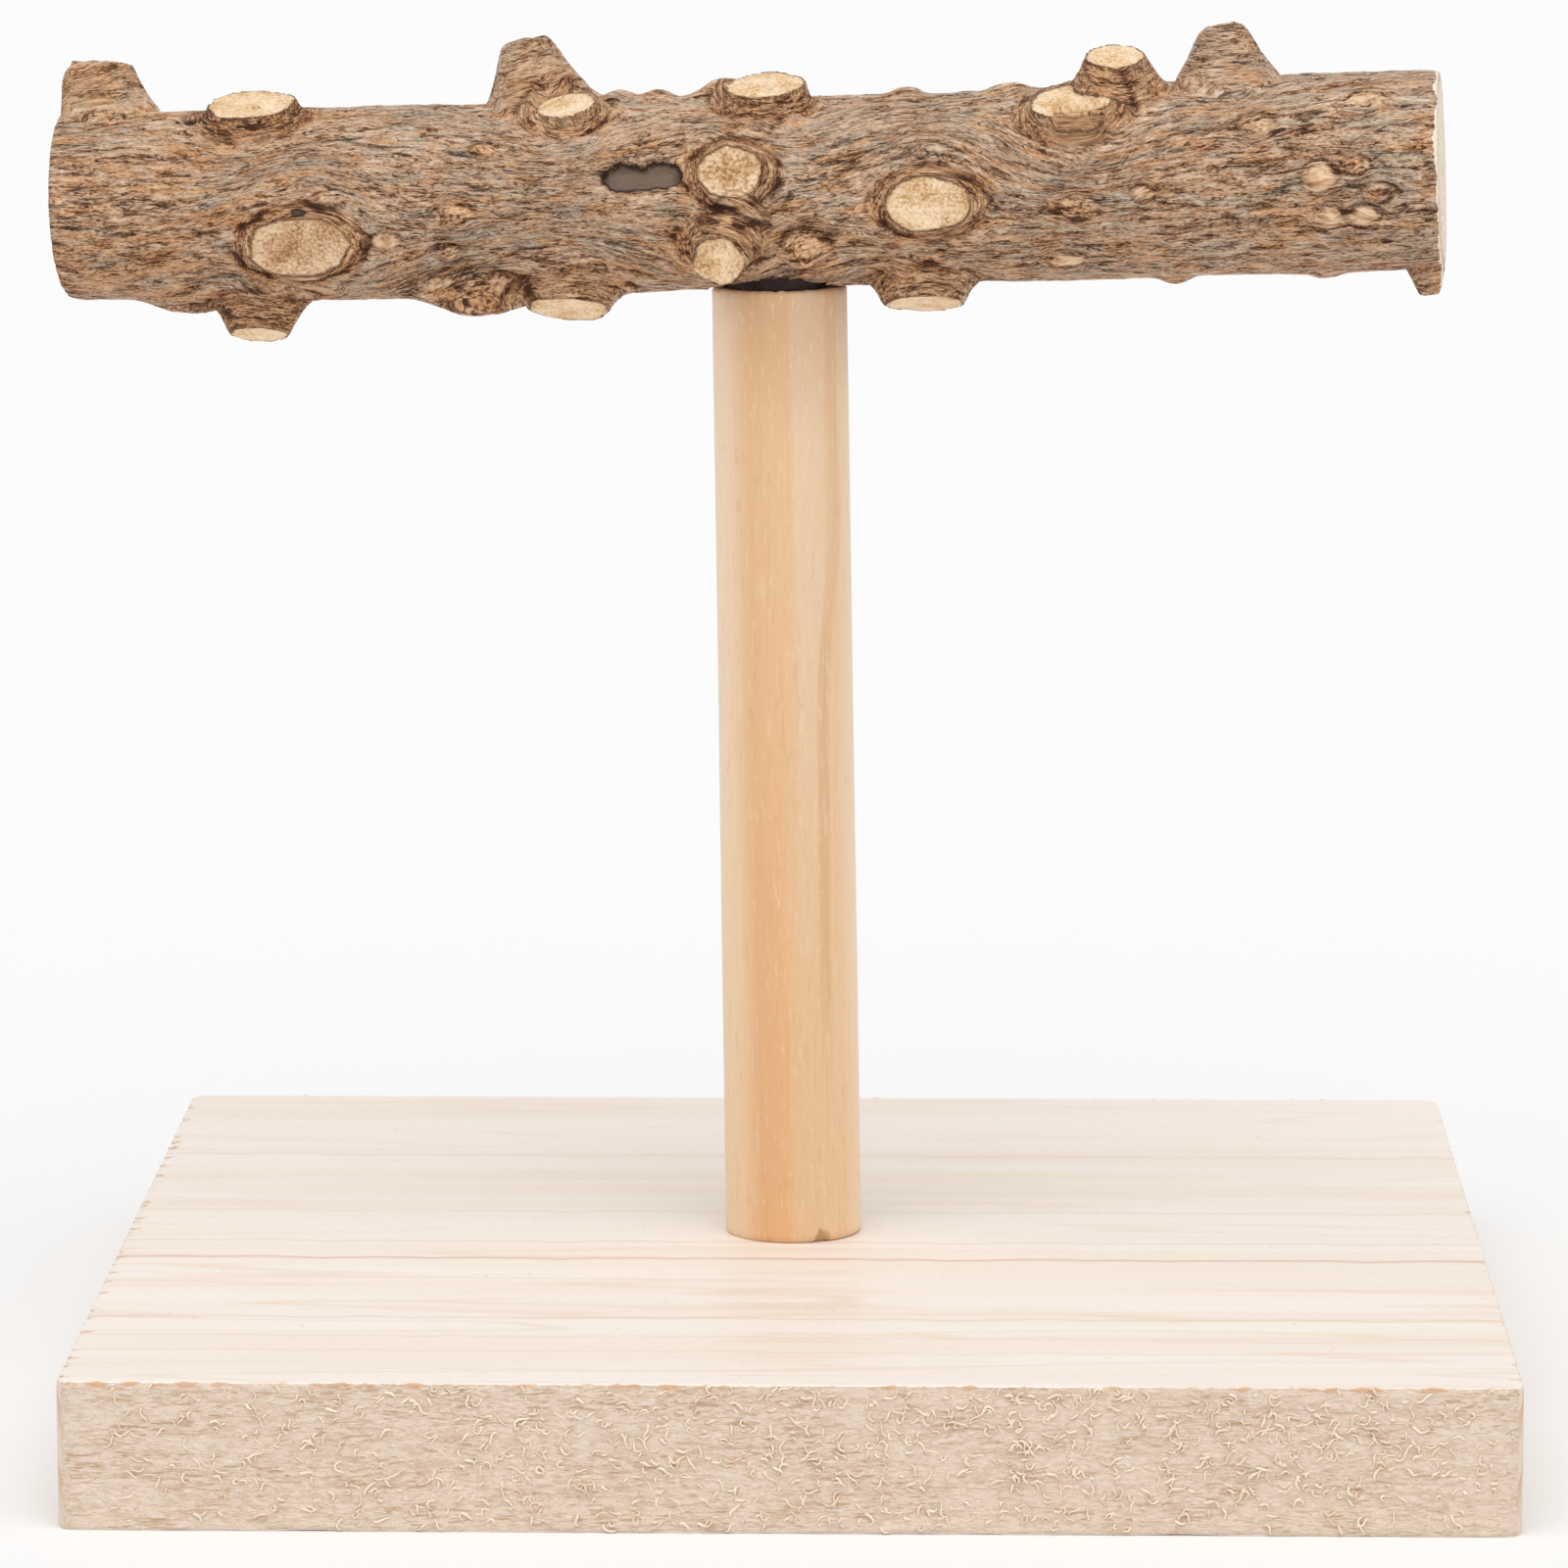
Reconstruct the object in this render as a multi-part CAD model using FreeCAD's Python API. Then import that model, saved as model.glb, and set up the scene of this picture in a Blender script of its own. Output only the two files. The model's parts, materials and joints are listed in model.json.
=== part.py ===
"""Bird training stand: a square board, a round post and a natural branch that lies across its top.

Millimetres, +Z up. The origin is the middle of the board's underside, +X runs along the board's width
and the front is towards -Y. The branch and the fasteners are drawn on the post's own axis, then placed.
"""

import FreeCAD
import Part
import math
import os
from collections import namedtuple

Vector = FreeCAD.Vector
Placement = FreeCAD.Placement
Rotation = FreeCAD.Rotation

# Base board
base_width = 150.0
base_depth = 150.0
base_thickness = 15.6
base_corner_radius = 2.0
base_edge_round = 0.5

# Post, a round dowel that leans a little to the left
post_diameter = 14.7
post_length = 105.2
post_edge_round = 0.3
post_offset_x = -0.95
post_lean_deg = 0.86

# Perch, a natural branch
perch_length = 151.0
perch_diameter = 21.2
bark_thickness = 0.9
perch_seat_share = 0.522
perch_seat_depth = 0.4
perch_heading_deg = -5.5
perch_rise_deg = 1.55

# Countersunk screw from the underside of the board into the post
screw_diameter = 4.0
screw_root_diameter = 2.9
screw_head_diameter = 8.0
screw_head_sink = 0.5
screw_smooth_length = 14.0
screw_grip = 26.0
screw_pitch = 1.8
screw_point_length = 4.0
drive_length = 4.2
drive_width = 1.0
drive_depth = 1.7

# Hanger bolt: wood thread in the post, machine thread in the insert
bolt_diameter = 6.0
bolt_wood_root_diameter = 4.4
bolt_machine_root_diameter = 5.0
bolt_grip = 25.0
bolt_collar_length = 3.0
bolt_wood_pitch = 2.4
bolt_machine_pitch = 1.0
bolt_point_length = 5.0
bolt_end_gap = 0.8

# Insert nut, pressed into the perch. Its flange fills a drilled pocket and bears on the post.
insert_flange_diameter = 12.6
insert_flange_thickness = 2.6
insert_diameter = 9.6
insert_root_diameter = 8.4
insert_length = 12.0
insert_pitch = 2.0
insert_slot_width = 1.6
insert_slot_depth = 0.9

# Fits
running_clearance = 0.06
wood_clearance = 0.05
pocket_clearance = 0.2
seat_clearance = 0.1
side_clearance = 0.4
cut_overrun = 2.0

# Sections of the branch from its left end to its right end:
# place along it, then width and lift of its middle as shares of the perch's diameter.
Section = namedtuple("Section", "along_share width_share lift_share")
perch_section_shares = [
    Section(0.000, 0.985, 0.044),
    Section(0.120, 0.988, 0.022),
    Section(0.240, 0.994, 0.010),
    Section(0.440, 1.000, 0.008),
    Section(0.570, 0.980, -0.006),
    Section(0.710, 0.988, -0.008),
    Section(0.900, 1.015, 0.003),
    Section(1.000, 1.020, 0.005),
]

# Twig stubs, sawn off. Places run along the perch, widths and reaches are shares of its diameter.
# Reach goes from the branch's middle to the sawn face, root is the bark's width at the branch and cut the
# width of the bare face. Side 0 faces the front, 90 up and 180 the back; tilt turns the face on round the
# branch and lean turns it along the branch, to the right.
Stub = namedtuple("Stub", "along_share reach_share root_share cut_share side_deg tilt_deg lean_deg")
stub_shares = [
    Stub(0.028, 0.775, 0.500, 0.215, 99, 0, -4),
    Stub(0.149, 0.565, 0.545, 0.425, 76, -1, 0),
    Stub(0.340, 0.828, 0.510, 0.130, 97, 0, -11),
    Stub(0.376, 0.565, 0.480, 0.283, 62, 2, 0),
    Stub(0.518, 0.582, 0.560, 0.390, 74, 1, -1),
    Stub(0.497, 0.575, 0.520, 0.300, 14, 0, 0),
    Stub(0.486, 0.650, 0.500, 0.260, -25, 9, -8),
    Stub(0.637, 0.547, 0.590, 0.335, -4, 0, 0),
    Stub(0.745, 0.552, 0.560, 0.410, 52, 11, -3),
    Stub(0.774, 0.703, 0.475, 0.290, 72, 0, 0),
    Stub(0.851, 0.778, 0.530, 0.115, 97, 0, -2),
    Stub(0.145, 0.654, 0.490, 0.345, -80, 3, -3),
    Stub(0.375, 0.620, 0.610, 0.380, -72, 4, -2),
    Stub(0.628, 0.604, 0.590, 0.368, -76, 3, 0),
    Stub(0.989, 0.632, 0.235, 0.060, -86, 0, 4),
    Stub(0.181, 0.520, 0.635, 0.390, -20, 0, 0),
    Stub(0.255, 0.590, 0.520, 0.320, 162, 4, 0),
    Stub(0.440, 0.555, 0.560, 0.370, 188, 0, 0),
    Stub(0.585, 0.610, 0.500, 0.290, 160, -5, 5),
    Stub(0.700, 0.560, 0.540, 0.350, 207, -6, 0),
    Stub(0.905, 0.590, 0.520, 0.310, 170, 0, 3),
    Stub(0.085, 0.560, 0.540, 0.340, 198, 0, -3),
]

# Burls, bumps that the bark covers.
Burl = namedtuple("Burl", "along_share reach_share root_share side_deg")
burl_shares = [
    Burl(0.089, 0.565, 0.450, -84),
    Burl(0.301, 0.606, 0.580, -84),
    Burl(0.800, 0.545, 0.420, 232),
]

# How far a stub's side has drawn in, half way from its root to its sawn face
stub_waist_share = 0.45
# How far stubs are carried on into the branch
stub_sink_share = 0.30

# Worked out
base_top = base_thickness
perch_radius = perch_diameter / 2
pocket_diameter = insert_flange_diameter + 2 * pocket_clearance
pocket_depth = insert_flange_thickness
perch_left = -perch_length * perch_seat_share
screw_head_depth = (screw_head_diameter - screw_diameter) / 2
screw_bottom = screw_head_sink - base_thickness
bolt_top = insert_length - bolt_end_gap
perch_axis_height = perch_radius - perch_seat_depth


def turned(points):
    """Return the solid that a closed outline of (radius, height) points makes round the Z axis."""
    corners = [Vector(radius, 0, height) for radius, height in points]
    face = Part.Face(Part.makePolygon(corners + corners[:1]))
    return face.revolve(Vector(0, 0, 0), Vector(0, 0, 1), 360)


def thread_points(low, high, pitch, outer, root):
    """Return the outline of thread ridges between two heights, from the lower one up."""
    count = max(1, int((high - low) / pitch))
    step = (high - low) / count
    points = []
    for turn in range(count):
        foot = low + turn * step
        points.append((root, foot))
        points.append((outer, foot + step / 2))
    points.append((root, high))
    return points


def cylinder(diameter, low, high):
    """Return an upright round bar on the Z axis between two heights."""
    return Part.makeCylinder(diameter / 2, high - low, Vector(0, 0, low))


def post_placement():
    """Return the place of the post's axis: its foot on the board's top, with its lean."""
    lean = Rotation(Vector(0, 1, 0), -post_lean_deg)
    return Placement(Vector(post_offset_x, 0, base_top), lean)


def perch_placement():
    """Return the place of the branch's axis over the post, measured in the post's own frame."""
    heading = Rotation(Vector(0, 0, 1), perch_heading_deg)
    rise = Rotation(Vector(0, 1, 0), -perch_rise_deg)
    lift = Vector(0, 0, post_length + seat_clearance + perch_axis_height)
    return Placement(lift, heading.multiply(rise))


def placed(shape):
    """Return a shape that was drawn on the post's axis, moved to where the post stands."""
    moved = shape.copy()
    moved.Placement = post_placement().multiply(moved.Placement)
    return moved


def screw_outline(slack):
    """Return the wood screw's outline on the post's axis, with slack added all round it."""
    low = screw_bottom
    neck = low + screw_head_depth
    smooth = low + screw_smooth_length
    tip = screw_grip
    taper = tip - screw_point_length
    points = [
        (0, low),
        (screw_head_diameter / 2 + slack, low),
        (screw_diameter / 2 + slack, neck),
        (screw_diameter / 2 + slack, smooth),
    ]
    if slack:
        points += [(screw_diameter / 2 + slack, taper)]
    else:
        points += thread_points(
            smooth + screw_pitch, taper, screw_pitch, screw_diameter / 2, screw_root_diameter / 2
        )
    points.append((0, tip + slack))
    return points


def make_base_screw():
    """Return the countersunk screw with its cross recess."""
    screw = turned(screw_outline(0))
    bottom = screw_bottom - cut_overrun
    height = drive_depth + cut_overrun
    for length, width in ((drive_length, drive_width), (drive_width, drive_length)):
        corner = Vector(-length / 2, -width / 2, bottom)
        screw = screw.cut(Part.makeBox(length, width, height, corner))
    return placed(screw)


def screw_hole():
    """Return the space that the wood screw takes, carried out through the board's underside."""
    hole = turned(screw_outline(wood_clearance))
    mouth_low = screw_bottom - screw_head_sink - cut_overrun
    mouth = cylinder(screw_head_diameter + 2 * wood_clearance, mouth_low, screw_bottom)
    return placed(hole.fuse(mouth))


def make_base_board():
    """Return the square board with softened edges and its countersunk screw hole."""
    corner = Vector(-base_width / 2, -base_depth / 2, 0)
    board = Part.makeBox(base_width, base_depth, base_thickness, corner)
    upright = [e for e in board.Edges if e.BoundBox.ZLength > base_thickness / 2]
    board = board.makeFillet(base_corner_radius, upright)
    level = [e for e in board.Edges if e.BoundBox.ZLength < base_thickness / 2]
    board = board.makeFillet(base_edge_round, level)
    return board.cut(screw_hole())


def bolt_outline(slack):
    """Return the lower, wood-threaded half of the hanger bolt, with slack added all round it."""
    tip = -bolt_grip
    taper = tip + bolt_point_length
    collar = -bolt_collar_length
    points = [(0, tip - slack)]
    if slack:
        points += [(bolt_diameter / 2 + slack, taper)]
    else:
        points += thread_points(
            taper, collar, bolt_wood_pitch, bolt_diameter / 2, bolt_wood_root_diameter / 2
        )
    points.append((bolt_diameter / 2 + slack, collar))
    return points


def make_hanger_bolt():
    """Return the hanger bolt: wood thread below the post's top, machine thread above it."""
    thread = thread_points(
        0, bolt_top - bolt_machine_pitch, bolt_machine_pitch, bolt_diameter / 2, bolt_machine_root_diameter / 2
    )
    points = bolt_outline(0) + [(bolt_diameter / 2, 0)] + thread
    points += [(bolt_machine_root_diameter / 2, bolt_top), (0, bolt_top)]
    bolt = turned(points)
    bolt = bolt.translated(Vector(0, 0, post_length))
    return placed(bolt)


def bolt_hole():
    """Return the space that the hanger bolt takes in the post, open at the post's top."""
    radius = bolt_diameter / 2 + wood_clearance
    hole = turned(bolt_outline(wood_clearance) + [(radius, cut_overrun), (0, cut_overrun)])
    return placed(hole.translated(Vector(0, 0, post_length)))


def make_post():
    """Return the dowel, square at its top and cut level with the board at its foot."""
    post = cylinder(post_diameter, -cut_overrun, post_length)
    rim = [e for e in post.Edges if e.BoundBox.ZLength < post_edge_round and e.BoundBox.ZMin > 0]
    post = placed(post.makeChamfer(post_edge_round, rim))
    below = Part.makeBox(base_width, base_depth, base_thickness, Vector(-base_width / 2, -base_depth / 2, 0))
    return post.cut(below).cut(screw_hole()).cut(bolt_hole())


def make_insert_nut():
    """Return the flanged insert with its ridged barrel, driver slot and running bore."""
    seat = insert_flange_thickness
    top = insert_length
    bore = bolt_diameter / 2 + running_clearance
    ridges = thread_points(
        seat, top - insert_pitch / 2, insert_pitch, insert_diameter / 2, insert_root_diameter / 2
    )
    points = [
        (bore, 0),
        (insert_flange_diameter / 2, 0),
        (insert_flange_diameter / 2, seat),
    ]
    points += ridges + [(insert_root_diameter / 2, top), (bore, top)]
    nut = turned(points)
    corner = Vector(-insert_flange_diameter, -insert_slot_width / 2, -cut_overrun)
    slot = Part.makeBox(2 * insert_flange_diameter, insert_slot_width, insert_slot_depth + cut_overrun, corner)
    nut = nut.cut(slot).translated(Vector(0, 0, post_length + seat_clearance))
    return placed(nut)


def seat_cut():
    """Return what is drilled out of the branch: the flat seat, the pocket and the insert's hole."""
    below = -perch_radius
    flat = cylinder(post_diameter + 2 * side_clearance, below, 0)
    pocket = cylinder(pocket_diameter, below, pocket_depth)
    hole = cylinder(insert_diameter + 2 * wood_clearance, below, insert_length)
    cut = flat.fuse([pocket, hole]).translated(Vector(0, 0, post_length + seat_clearance))
    return placed(cut)


def perch_log(inset):
    """Return the branch without its stubs, drawn along X, with its surface set in by inset."""
    rings = []
    for section in perch_section_shares:
        place = perch_left + perch_length * section.along_share
        middle = Vector(place, 0, perch_diameter * section.lift_share)
        radius = perch_radius * section.width_share - inset
        rings.append(Part.Wire(Part.makeCircle(radius, middle, Vector(1, 0, 0))))
    return Part.makeLoft(rings, True, False)


def outward(side_deg, lean_deg):
    """Return the direction that points out of the branch at a side, leant along it."""
    side = math.radians(side_deg)
    lean = math.radians(lean_deg)
    return Vector(
        math.sin(lean), -math.cos(side) * math.cos(lean), math.sin(side) * math.cos(lean)
    )


def stub_solid(stub, inset):
    """Return one sawn stub with flared sides, its bark taken off where inset is the bark's thickness."""
    cut_radius = perch_diameter * stub.cut_share / 2 + bark_thickness - inset
    root_radius = perch_diameter * stub.root_share / 2 - inset
    rise = perch_diameter * stub.reach_share - perch_radius
    drop = perch_radius - math.sqrt(perch_radius**2 - root_radius**2)
    sink = perch_diameter * stub_sink_share
    waist = cut_radius + (root_radius - cut_radius) * stub_waist_share
    foot = Vector(root_radius, 0, -drop)
    rim = Vector(cut_radius, 0, rise)
    side = Part.Arc(foot, Vector(waist, 0, (rise - drop) / 2), rim).toShape()
    rest = Part.makePolygon(
        [rim, Vector(0, 0, rise), Vector(0, 0, -sink), Vector(root_radius, 0, -sink), foot]
    )
    face = Part.Face(Part.Wire([side] + rest.Edges))
    solid = face.revolve(Vector(0, 0, 0), Vector(0, 0, 1), 360)
    centre = outward(stub.side_deg, 0) * (perch_diameter * stub.reach_share)
    centre.x = perch_left + perch_length * stub.along_share
    axis = outward(stub.side_deg + stub.tilt_deg, stub.lean_deg)
    solid.Placement = Placement(centre - axis * rise, Rotation(Vector(0, 0, 1), axis))
    return solid


def burl_solid(burl, inset):
    """Return one rounded burl, set in by inset."""
    radius = perch_diameter * burl.root_share / 2
    centre = outward(burl.side_deg, 0) * (perch_diameter * burl.reach_share - radius)
    centre.x = perch_left + perch_length * burl.along_share
    return Part.makeSphere(radius - inset, centre)


def branch_solid(inset):
    """Return the whole branch with its stubs and burls, set in by inset and sawn square at both ends."""
    corner = Vector(perch_left, -perch_diameter, -perch_diameter)
    between_ends = Part.makeBox(perch_length, 2 * perch_diameter, 2 * perch_diameter, corner)
    growths = [stub_solid(stub, inset) for stub in stub_shares]
    growths += [burl_solid(burl, inset) for burl in burl_shares]
    branch = perch_log(inset).fuse([growth.common(between_ends) for growth in growths])
    branch = branch.removeSplitter()
    branch.Placement = perch_placement()
    return placed(branch)


def make_perch():
    """Return the branch's wood and the bark that covers it, both with the drilled seat."""
    drilled = seat_cut()
    core = branch_solid(bark_thickness)
    bark = branch_solid(0).cut(core)
    return core.cut(drilled), bark.cut(drilled)


def save(node, shape):
    """Write one piece to its own file, as a single solid."""
    solids = shape.Solids
    print(node, "solids", len(solids), "valid", shape.isValid(), "volume", round(shape.Volume, 1))
    largest = max(solids, key=lambda solid: solid.Volume)
    largest.exportStep(os.path.join("parts", node + ".step"))


def main():
    """Build every piece and write it."""
    os.makedirs("parts", exist_ok=True)
    perch_wood, perch_bark = make_perch()
    pieces = {
        "base_board": make_base_board(),
        "post": make_post(),
        "base_screw": make_base_screw(),
        "hanger_bolt": make_hanger_bolt(),
        "insert_nut": make_insert_nut(),
        "perch_wood": perch_wood,
        "perch_bark": perch_bark,
    }
    for node, shape in pieces.items():
        save(node, shape)


main()
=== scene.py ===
"""Bird training stand: a bark-covered branch on a pine post on a square board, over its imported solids.

Sizes are in millimetres and angles in degrees; meshes are made in metres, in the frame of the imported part:
+Z up, the front that is seen towards -Y, and the middle of the board's underside at the origin.
"""

import json
import logging
import math
from dataclasses import dataclass
from enum import Enum, IntEnum
from itertools import product

import bpy
import numpy as np
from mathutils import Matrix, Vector

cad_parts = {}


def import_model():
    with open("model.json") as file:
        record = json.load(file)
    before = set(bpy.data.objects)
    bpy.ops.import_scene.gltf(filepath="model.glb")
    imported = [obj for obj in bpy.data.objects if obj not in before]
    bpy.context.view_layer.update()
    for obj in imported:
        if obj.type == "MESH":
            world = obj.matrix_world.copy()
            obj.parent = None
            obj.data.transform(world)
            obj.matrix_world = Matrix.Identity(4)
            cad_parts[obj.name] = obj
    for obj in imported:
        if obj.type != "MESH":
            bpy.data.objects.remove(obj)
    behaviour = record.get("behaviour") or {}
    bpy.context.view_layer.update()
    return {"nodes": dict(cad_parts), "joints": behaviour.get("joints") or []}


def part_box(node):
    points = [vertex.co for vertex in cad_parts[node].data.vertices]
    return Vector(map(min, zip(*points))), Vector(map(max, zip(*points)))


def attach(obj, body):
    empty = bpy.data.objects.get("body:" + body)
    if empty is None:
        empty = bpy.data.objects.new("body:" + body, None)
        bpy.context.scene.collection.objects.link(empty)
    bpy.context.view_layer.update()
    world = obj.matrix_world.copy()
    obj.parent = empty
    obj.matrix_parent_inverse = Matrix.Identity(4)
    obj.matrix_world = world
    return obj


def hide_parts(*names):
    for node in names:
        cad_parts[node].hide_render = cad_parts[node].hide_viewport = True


LOG = logging.getLogger("training_stand")
MM = 0.001
BAKE_MAP = "OFBake"
RUN = np.array((1.0, 0.0, 0.0))
# A mask has this value where its mark is far off.
FAR = -9.0
# The least number that anything is divided by.
TINY = 1e-6
# What the branch's material reads from its surface.
KEPT = ("grain", "ring", "cut", "turned", "age", "relief", "collar", "knot", "hollow", "pared")

Array = np.ndarray
Pair = tuple[Array, Array]
Piece = bpy.types.Object
NodeTree = bpy.types.NodeTree
Triple = tuple[float, float, float]
Stops = tuple[tuple[float, Triple], ...]


class Top(Enum):
    """How a twig stub on the branch ends."""

    SAWN = "sawn"
    BARKED = "barked"


class BoardFace(Enum):
    """How a face of the base board was cut, and its place among the board's materials."""

    PLANED = 0
    RIPPED = 1
    CROSSCUT = 2


class Plating(Enum):
    """Surface of the steel fasteners."""

    ZINC = "zinc"
    BLACKENED = "blackened"


class Seed(IntEnum):
    """Sets each kind of shape noise apart from the others."""

    LUMPS = 3
    STUB_EDGE = 11
    STUB_CRACK = 12
    STUB_NICKS = 13
    STUB_EYE = 14
    JAGS = 17
    JAG_NICKS = 18
    BARK_SWAY = 20
    BARK_PLATES = 21
    BARK_STRANDS = 22
    BARK_BROAD = 23
    POST_ROUND = 31
    POST_SKIN = 32
    POST_RIM = 33
    CHIP = 34
    POST_FOOT = 35
    SAW = 41
    SAW_FINE = 42
    CROSS = 43
    BITE = 44
    BITE_FINE = 45
    FRINGE = 46
    LOW_FRINGE = 47
    FRINGE_BROAD = 48
    FRAY = 51


# Noise for shapes


def lattice_slopes(cells: Array, seed: int) -> Array:
    """Gives each whole-number cell its own fixed slope.

    Args:
        cells: cell numbers, three to a row.
        seed: number that sets this noise apart from others.

    Returns:
        Slopes from -1 to 1, three to a row.
    """
    mixed = cells[:, 0] * 73856093 ^ cells[:, 1] * 19349663 ^ cells[:, 2] * 83492791 ^ seed * 374761393
    for _ in range(2):
        mixed = (mixed & 0xFFFFFFFF) * 0x45D9F3B & 0xFFFFFFFF
        mixed ^= mixed >> 16
    return np.stack([(mixed >> shift & 1023) / 511.5 - 1.0 for shift in (0, 10, 20)], axis=-1)


def noise(points: Array, seed: int) -> Array:
    """Smooth noise, the same on every run.

    Args:
        points: places, three to a row, with one lump to each unit.
        seed: number that sets this noise apart from others.

    Returns:
        Values from about -1 to 1.
    """
    cell = np.floor(points).astype(np.int64)
    part = points - cell
    ease = part**3 * (part * (part * 6 - 15) + 10)
    total = np.zeros(len(points))
    for corner in product((0, 1), repeat=3):
        offset = np.array(corner)
        weight = np.prod(np.where(offset == 1, ease, 1 - ease), axis=-1)
        total += weight * np.sum(lattice_slopes(cell + offset, seed) * (part - offset), axis=-1)
    return total * 1.4


def smooth_step(value: Array, low: float, high: float) -> Array:
    """Rises smoothly from 0 at low to 1 at high."""
    share = np.clip((value - low) / (high - low), 0, 1)
    return share * share * (3 - 2 * share)


def smooth_max(first: Array, second: Array, width: float) -> Array:
    """The larger of two values, with the crease between them rounded over width."""
    share = np.clip(0.5 + 0.5 * (second - first) / width, 0, 1)
    return first + (second - first) * share + width * share * (1 - share)


def bell(value: Array, width: float) -> Array:
    """Falls smoothly from 1 where the value is 0 to almost nothing at twice the width."""
    return np.exp(-((value / width) ** 2))


# Places and meshes


def joined(*parts: Array | float) -> Array:
    """Places or vectors made of their parts, some of which may be single numbers."""
    return np.stack(np.broadcast_arrays(*parts), axis=-1)


def polar(angle: Array, radius: Array | float) -> Pair:
    """The two parts of places at an angle, in radians, and a radius."""
    return np.cos(angle) * radius, np.sin(angle) * radius


def in_mm(box: tuple[Vector, Vector]) -> Pair:
    """Lowest and highest corner of a box, in millimetres."""
    low, high = box
    return np.array(low) / MM, np.array(high) / MM


def full_turn(count: int) -> Array:
    """Angles spread evenly round a circle, in radians."""
    return np.arange(count) * (2 * math.pi / count)


def turn(axis: str, degrees: float) -> Array:
    """Rotation about the Y or Z axis, as a 3 by 3 array."""
    c, s = math.cos(math.radians(degrees)), math.sin(math.radians(degrees))
    if axis == "Y":
        return np.array(((c, 0, s), (0, 1, 0), (-s, 0, c)))
    return np.array(((c, -s, 0), (s, c, 0), (0, 0, 1)))


def upright(axis: Array) -> Array:
    """Rotation that tips the Z axis to the right onto an axis, as a 3 by 3 array."""
    return turn("Y", math.degrees(math.atan2(axis[0], axis[2])))


def outward(side: float, lean: float) -> Array:
    """Direction out of the branch, turned round it from the front over the top and leant to the right."""
    s, t = math.radians(side), math.radians(lean)
    return np.array((math.sin(t), -math.cos(s) * math.cos(t), math.sin(s) * math.cos(t)))


def grid_faces(numbers: Array) -> Array:
    """Four-cornered faces over a grid of point numbers, one row of four for each."""
    corners = (numbers[:-1, :-1], numbers[1:, :-1], numbers[1:, 1:], numbers[:-1, 1:])
    return np.stack(corners, axis=-1).reshape(-1, 4)


def wrapped(rows: int, columns: int) -> Array:
    """Point numbers of a grid that closes on itself, with its first column again at the end."""
    numbers = np.arange(rows * columns).reshape(rows, columns)
    return np.concatenate([numbers, numbers[:, :1]], axis=1)


def fan_faces(ring: Array, tip: int) -> Array:
    """Three-cornered faces from each step along a closed ring of point numbers to one tip."""
    return joined(ring, np.roll(ring, -1), tip)


def unrolled(u: Array, v: Array) -> Array:
    """Bake coordinates of a grid's faces laid out flat, four for each face."""
    flat = joined(*np.meshgrid(u, v, indexing="ij")).reshape(-1, 2)
    return flat[grid_faces(np.arange(len(flat)).reshape(len(u), len(v)))]


def mesh_object(name: str, points: Array, faces: list[Array], uv: Array | None = None) -> Piece:
    """Makes a smooth-shaded object in the scene.

    Args:
        name: the piece's name.
        points: places in millimetres, three to a row.
        faces: blocks of faces, with a row of point numbers for each face.
        uv: bake coordinates, one row for each corner of each face in turn.

    Returns:
        The new object.
    """
    mesh = bpy.data.meshes.new(name)
    mesh.from_pydata((points * MM).tolist(), [], [face for block in faces for face in block.tolist()])
    mesh.shade_smooth()
    if uv is not None:
        mesh.uv_layers.new(name=BAKE_MAP).data.foreach_set("uv", uv.astype(np.float32).ravel())
    made = bpy.data.objects.new(name, mesh)
    bpy.context.scene.collection.objects.link(made)
    return made


def store(piece: Piece, name: str, values: Array) -> None:
    """Keeps one number or one vector for each point of a piece, for its material to read."""
    kind, key = ("FLOAT", "value") if values.ndim == 1 else ("FLOAT_VECTOR", "vector")
    layer = piece.data.attributes.new(name, kind, "POINT")
    layer.data.foreach_set(key, values.astype(np.float32).ravel())


# Node graphs


def tone(colour: Triple) -> tuple[float, float, float, float]:
    """A colour written in 0 to 255 screen values, as the shader takes it."""
    levels = (value / 255 for value in colour)
    return (*(v / 12.92 if v <= 0.04045 else ((v + 0.055) / 1.055) ** 2.4 for v in levels), 1.0)


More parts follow.
